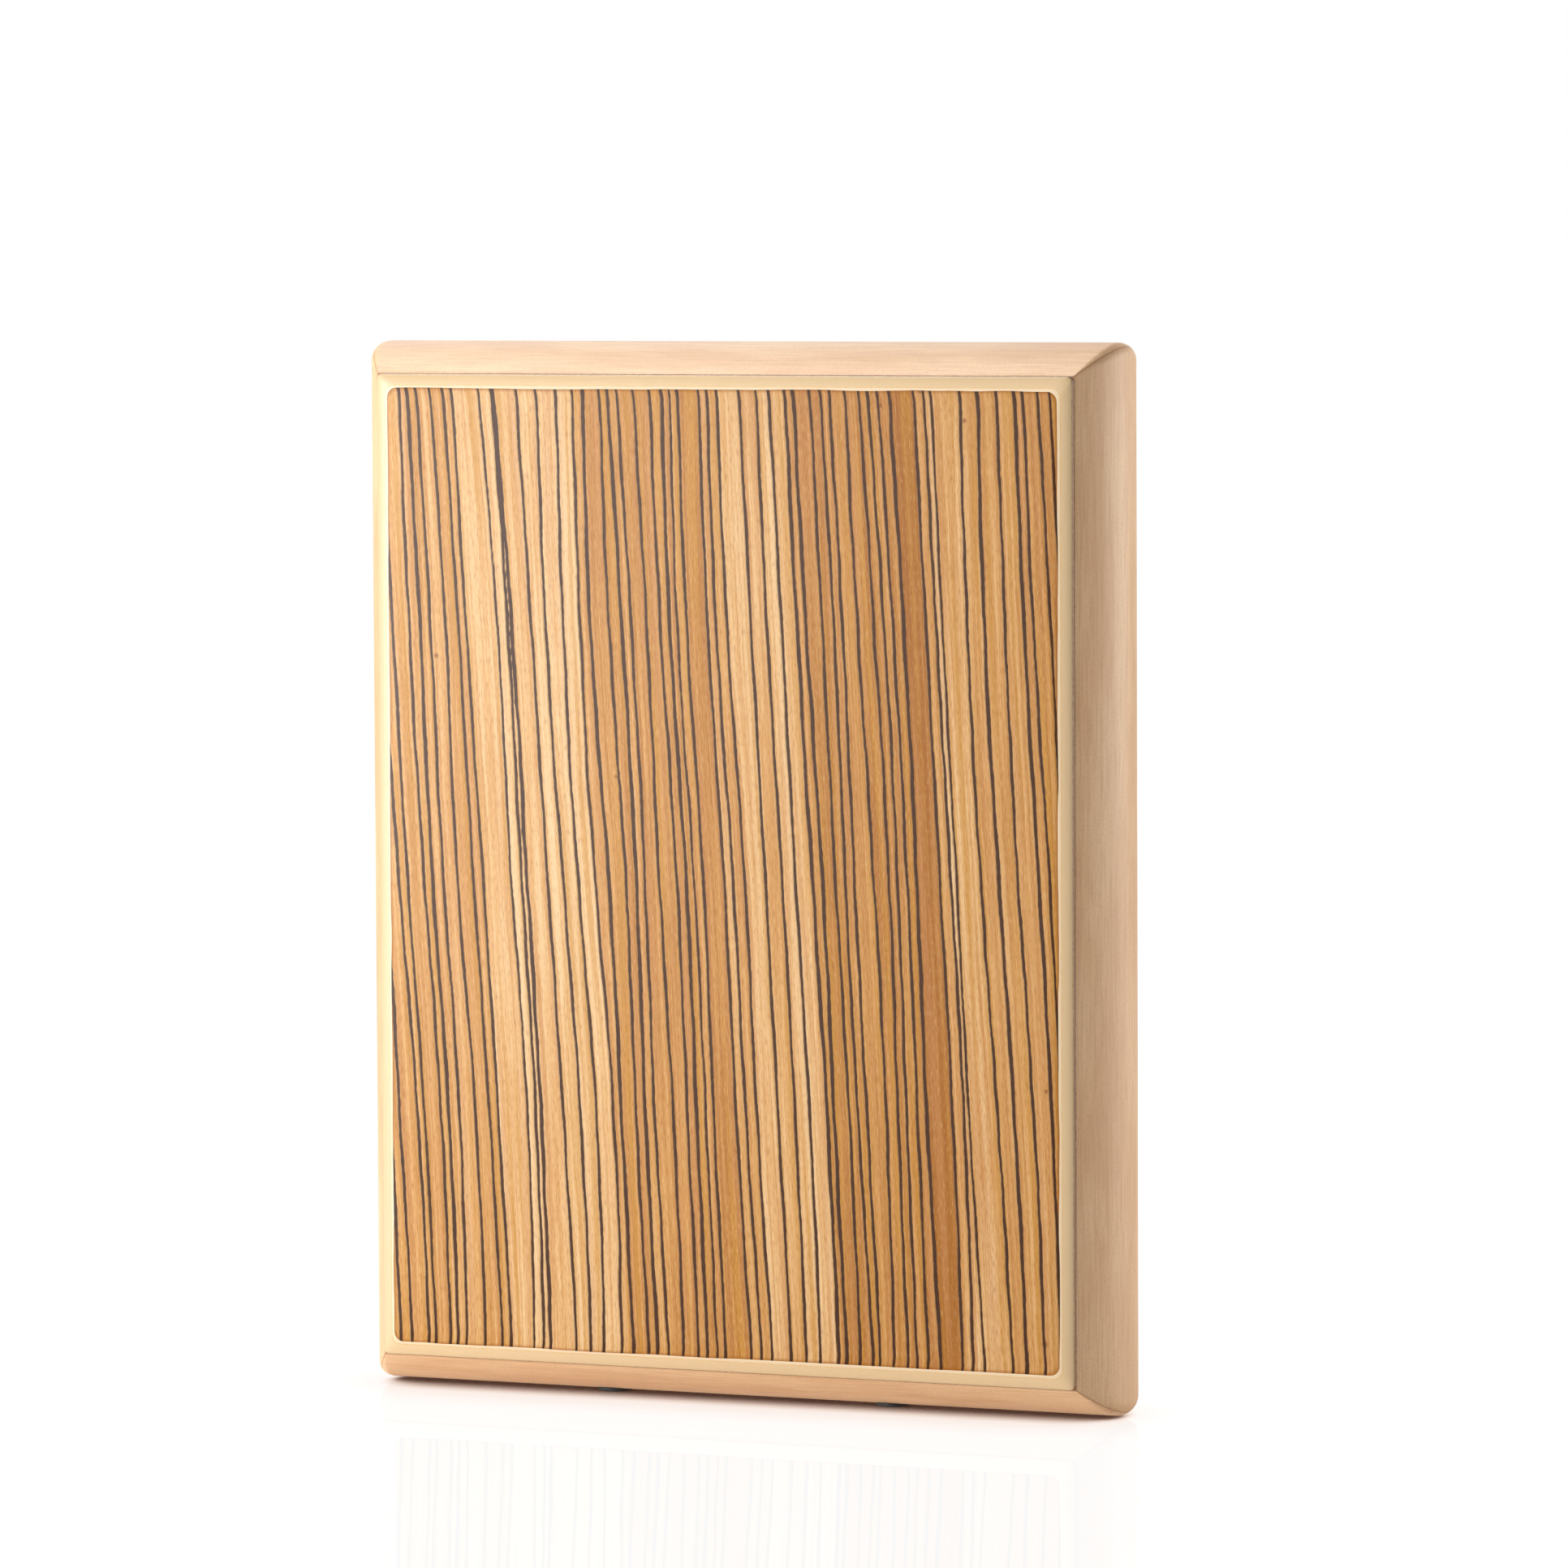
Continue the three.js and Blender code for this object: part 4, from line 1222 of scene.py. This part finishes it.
# The end plate: a strip with a screw hole in each lug. Each half is one closed grid of rings, from
# its hole's edge out to the half's outline and back along the other side.
def plateShape(width, s):
    lugAt, halfHeightOfPlate = (width - s["lug"]) / 2, s["plateHeight"] / 2
    steps, thick = s["plateSteps"], s["plateThickness"]
    angle = np.linspace(0, 2 * math.pi, steps, endpoint=False)
    ray = np.stack([np.cos(angle), np.sin(angle)], axis=-1)
    hole = ray * s["hole"] / 2
    shapes = []
    for side in (-1, 1):
        reach = np.where(ray[:, 0] * side > 0, s["lug"] / 2, lugAt)
        reach = np.stack([reach, np.full(steps, halfHeightOfPlate)], axis=-1)
        outline = ray * (reach / np.maximum(np.abs(ray), 1e-9)).min(axis=1)[:, None]
        levels = ((hole, 0), (outline, 0), (outline, thick), (hole, thick))
        points = np.concatenate([np.insert(ring, 1, y, axis=1) for ring, y in levels])
        shapes.append((points + (side * lugAt, 0, 0), [gridQuads(4, steps, True, True)]))
    return joinShapes(shapes)


def addSnareSets(s):
    fan = (s["wires"] - 1) * s["spacing"]
    width = fan + s["coil"] + 2 * s["lug"]
    coilPoints, coilFaces = coilShape(s)
    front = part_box("snare_screw_left_left")[0].y + screw["headHeight"]
    for word, side in (("left", -1), ("right", 1)):
        corners = [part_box(f"snare_screw_{word}_{lug}") for lug in ("left", "right")]
        origin = np.array(corners).reshape(-1, 3).mean(axis=0)
        origin[1] = front
        shapes = [plateShape(width, s)]
        for wire in range(s["wires"]):
            across = wire * s["spacing"] - fan / 2
            start = s["plateHeight"] / 2 - s["lap"]
            depth = s["sunk"] - s["coil"] / 2
            shapes.append((coilPoints + (across, depth, start), coilFaces))
            bead = (across, -s["beadDepth"], start + s["lap"] / 2)
            shapes.append(beadShape(bead, s["bead"], s["beadSteps"]))
        local, faces = joinShapes(shapes)
        tilt = np.array(Matrix.Rotation(math.radians(side * s["tilt"]), 3, "Y"))
        piece = makePiece(f"snareSet{word.capitalize()}", local @ tilt.T + origin, faces, 40)
        settle(piece, plainFinish["snareSteel"], "snare_steel", f"snare_set_{word}")


addSnareSets(snare)


felt = {"rings": 220, "sides": 40, "rough": 0.06, "seed": 3}


# The felt strip: a flat oblong whose section is a squared circle, |y / a|^4 + |z / b|^4 = 1, with
# its skin roughened by up to a share of its size
def addFelt(f):
    low, high = (np.array(corner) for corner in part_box("snare_felt"))
    half = (high - low) / 2
    along = np.linspace(-1, 1, f["rings"])
    angle = np.linspace(0, 2 * math.pi, f["sides"], endpoint=False)
    y, z = (np.sign(wave) * np.sqrt(np.abs(wave)) for wave in (np.cos(angle), np.sin(angle)))
    rough = 1 - np.random.default_rng(f["seed"]).uniform(0, f["rough"], (len(along), len(angle), 1))
    section = np.stack([0 * y, y * half[1], z * half[2]], axis=-1)[None] * rough
    rings = section + np.stack([along * half[0], 0 * along, 0 * along], axis=-1)[:, None]
    points, faces = closedSkin(rings, [(-half[0], 0, 0), (half[0], 0, 0)])
    piece = makePiece("snareFelt", points + (low + high) / 2, faces, 60)
    settle(piece, plainFinish["woolFelt"], "wool_felt", "snare_felt")


addFelt(felt)
print("snare strung")

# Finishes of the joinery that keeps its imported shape
joinery = {
    "snare_bar": planedBeech("planedBeechAcross", alongX, beechLook),
    "snare_cleat_left": planedBeech("planedBeechUpright", alongZ, beechLook),
    "glue_block_top_left": planedBeech("planedBeechDeep", alongY, beechLook),
}
joinery["snare_cleat_right"] = joinery["snare_cleat_left"]
for corner in ("top_left", "top_right", "bottom_left", "bottom_right"):
    joinery[f"glue_block_{corner}"] = joinery["glue_block_top_left"]
    joinery[f"spline_{corner}"] = joinery["glue_block_top_left"]
for node, material in joinery.items():
    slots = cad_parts[node].data.materials
    slots.clear()
    slots.append(material)
print("joinery finished")

# Floor, lamps and white surround
floorLook = {
    "size": 40,
    "white": 0.93,  # the floor's own white, as the camera sees it
    "reach": 45 * mm,  # how far from the drum its shadow starts
    "shadow": [(0.0, "#2E1A10"), (0.08, "#694636"), (0.2, "#E0C8BA"), (0.45, "#FAF0EA"), (1.0, "#FFFFFF")],
    "gloss": 0.13,
    "mirrorRoughness": 0.03,
    "bounce": "#EFEFEF",  # its colour as the drum and the lamps meet it
    "glow": 0.13,  # light that it gives the drum besides
}


# White lacquered sheet, lit from all round: pure white to the camera with a faint mirror image,
# and a warm shadow that closes in where the drum stands on it.
def whiteSheet(name, look):
    material, tree, shader = newMaterial(name)
    tree.nodes.remove(shader)
    rays = addNode(tree, "LightPath")
    near = addNode(tree, "AmbientOcclusion", {"Distance": look["reach"]}, samples=16)
    shade = addNode(tree, "ValToRGB", {"Fac": near.outputs["AO"]}, stops=look["shadow"])
    glow = addNode(tree, "Emission", {"Color": shade, "Strength": look["white"]})
    inputs = {"Factor": 1.0, "A": shade, "B": (look["gloss"],) * 3 + (1,)}
    faint = addNode(tree, "Mix", inputs, blend_type="MULTIPLY", **ofColour)
    shine = addNode(tree, "BsdfGlossy", {"Color": faint, "Roughness": look["mirrorRoughness"]})
    seen = addNode(tree, "AddShader", {0: glow, 1: shine})
    matt = addNode(tree, "BsdfDiffuse", {"Color": look["bounce"]})
    lift = addNode(tree, "Emission", {"Strength": look["glow"]})
    lit = addNode(tree, "AddShader", {0: matt, 1: lift})
    both = addNode(tree, "MixShader", {0: rays.outputs["Is Camera Ray"], 1: lit, 2: seen})
    tree.links.new(both.outputs[0], tree.nodes["Material Output"].inputs["Surface"])
    return material


def addFloor(look):
    half = look["size"] / 2
    corners = np.array([(-half, -half, 0), (half, -half, 0), (half, half, 0), (-half, half, 0)])
    mesh = bpy.data.meshes.new("floor")
    mesh.from_pydata(corners.tolist(), [], [(0, 1, 2, 3)])
    floor = bpy.data.objects.new("floor", mesh)
    bpy.context.scene.collection.objects.link(floor)
    mesh.materials.append(whiteSheet("whiteSheet", look))


addFloor(floorLook)

# Each lamp: place, what it faces, size and power
lamps = {
    "leftFront": ((-1.25, -1.55, 0.32), (0, 0, 0.22), 1.0, 61),
    "overhead": ((-0.8, 0.06, 2.2), (0, 0, 0.45), 0.9, 24),
    "topRear": ((-0.7, 1.0, 1.4), (0, 0, 0.45), 0.7, 4),
    "rightRear": ((1.75, 1.05, 0.7), (0, 0, 0.25), 1.4, 29),
}


def addLamps(places):
    for name, (place, target, size, power) in places.items():
        data = bpy.data.lights.new(name, "AREA")
        data.shape = "SQUARE"
        data.size = size
        data.energy = power
        lamp = bpy.data.objects.new(name, data)
        lamp.location = place
        lamp.rotation_euler = (Vector(target) - Vector(place)).to_track_quat("-Z", "Y").to_euler()
        lamp.visible_camera = False
        bpy.context.scene.collection.objects.link(lamp)


addLamps(lamps)


# White for the camera, for gloss and for glass, and no light of its own
def addSurround():
    world = bpy.data.worlds.new("surround")
    bpy.context.scene.world = world
    world.use_nodes = True
    tree = world.node_tree
    rays = addNode(tree, "LightPath")
    seen = rays.outputs["Is Camera Ray"]
    for kind in ("Is Glossy Ray", "Is Transmission Ray"):
        seen = addNode(tree, "Math", (seen, rays.outputs[kind]), operation="MAXIMUM")
    background = tree.nodes["Background"]
    background.inputs["Color"].default_value = colour("#FFFFFF")
    tree.links.new(seen.outputs[0], background.inputs["Strength"])


addSurround()
bpy.context.scene.view_settings.view_transform = "Standard"
print("floor and lamps set")
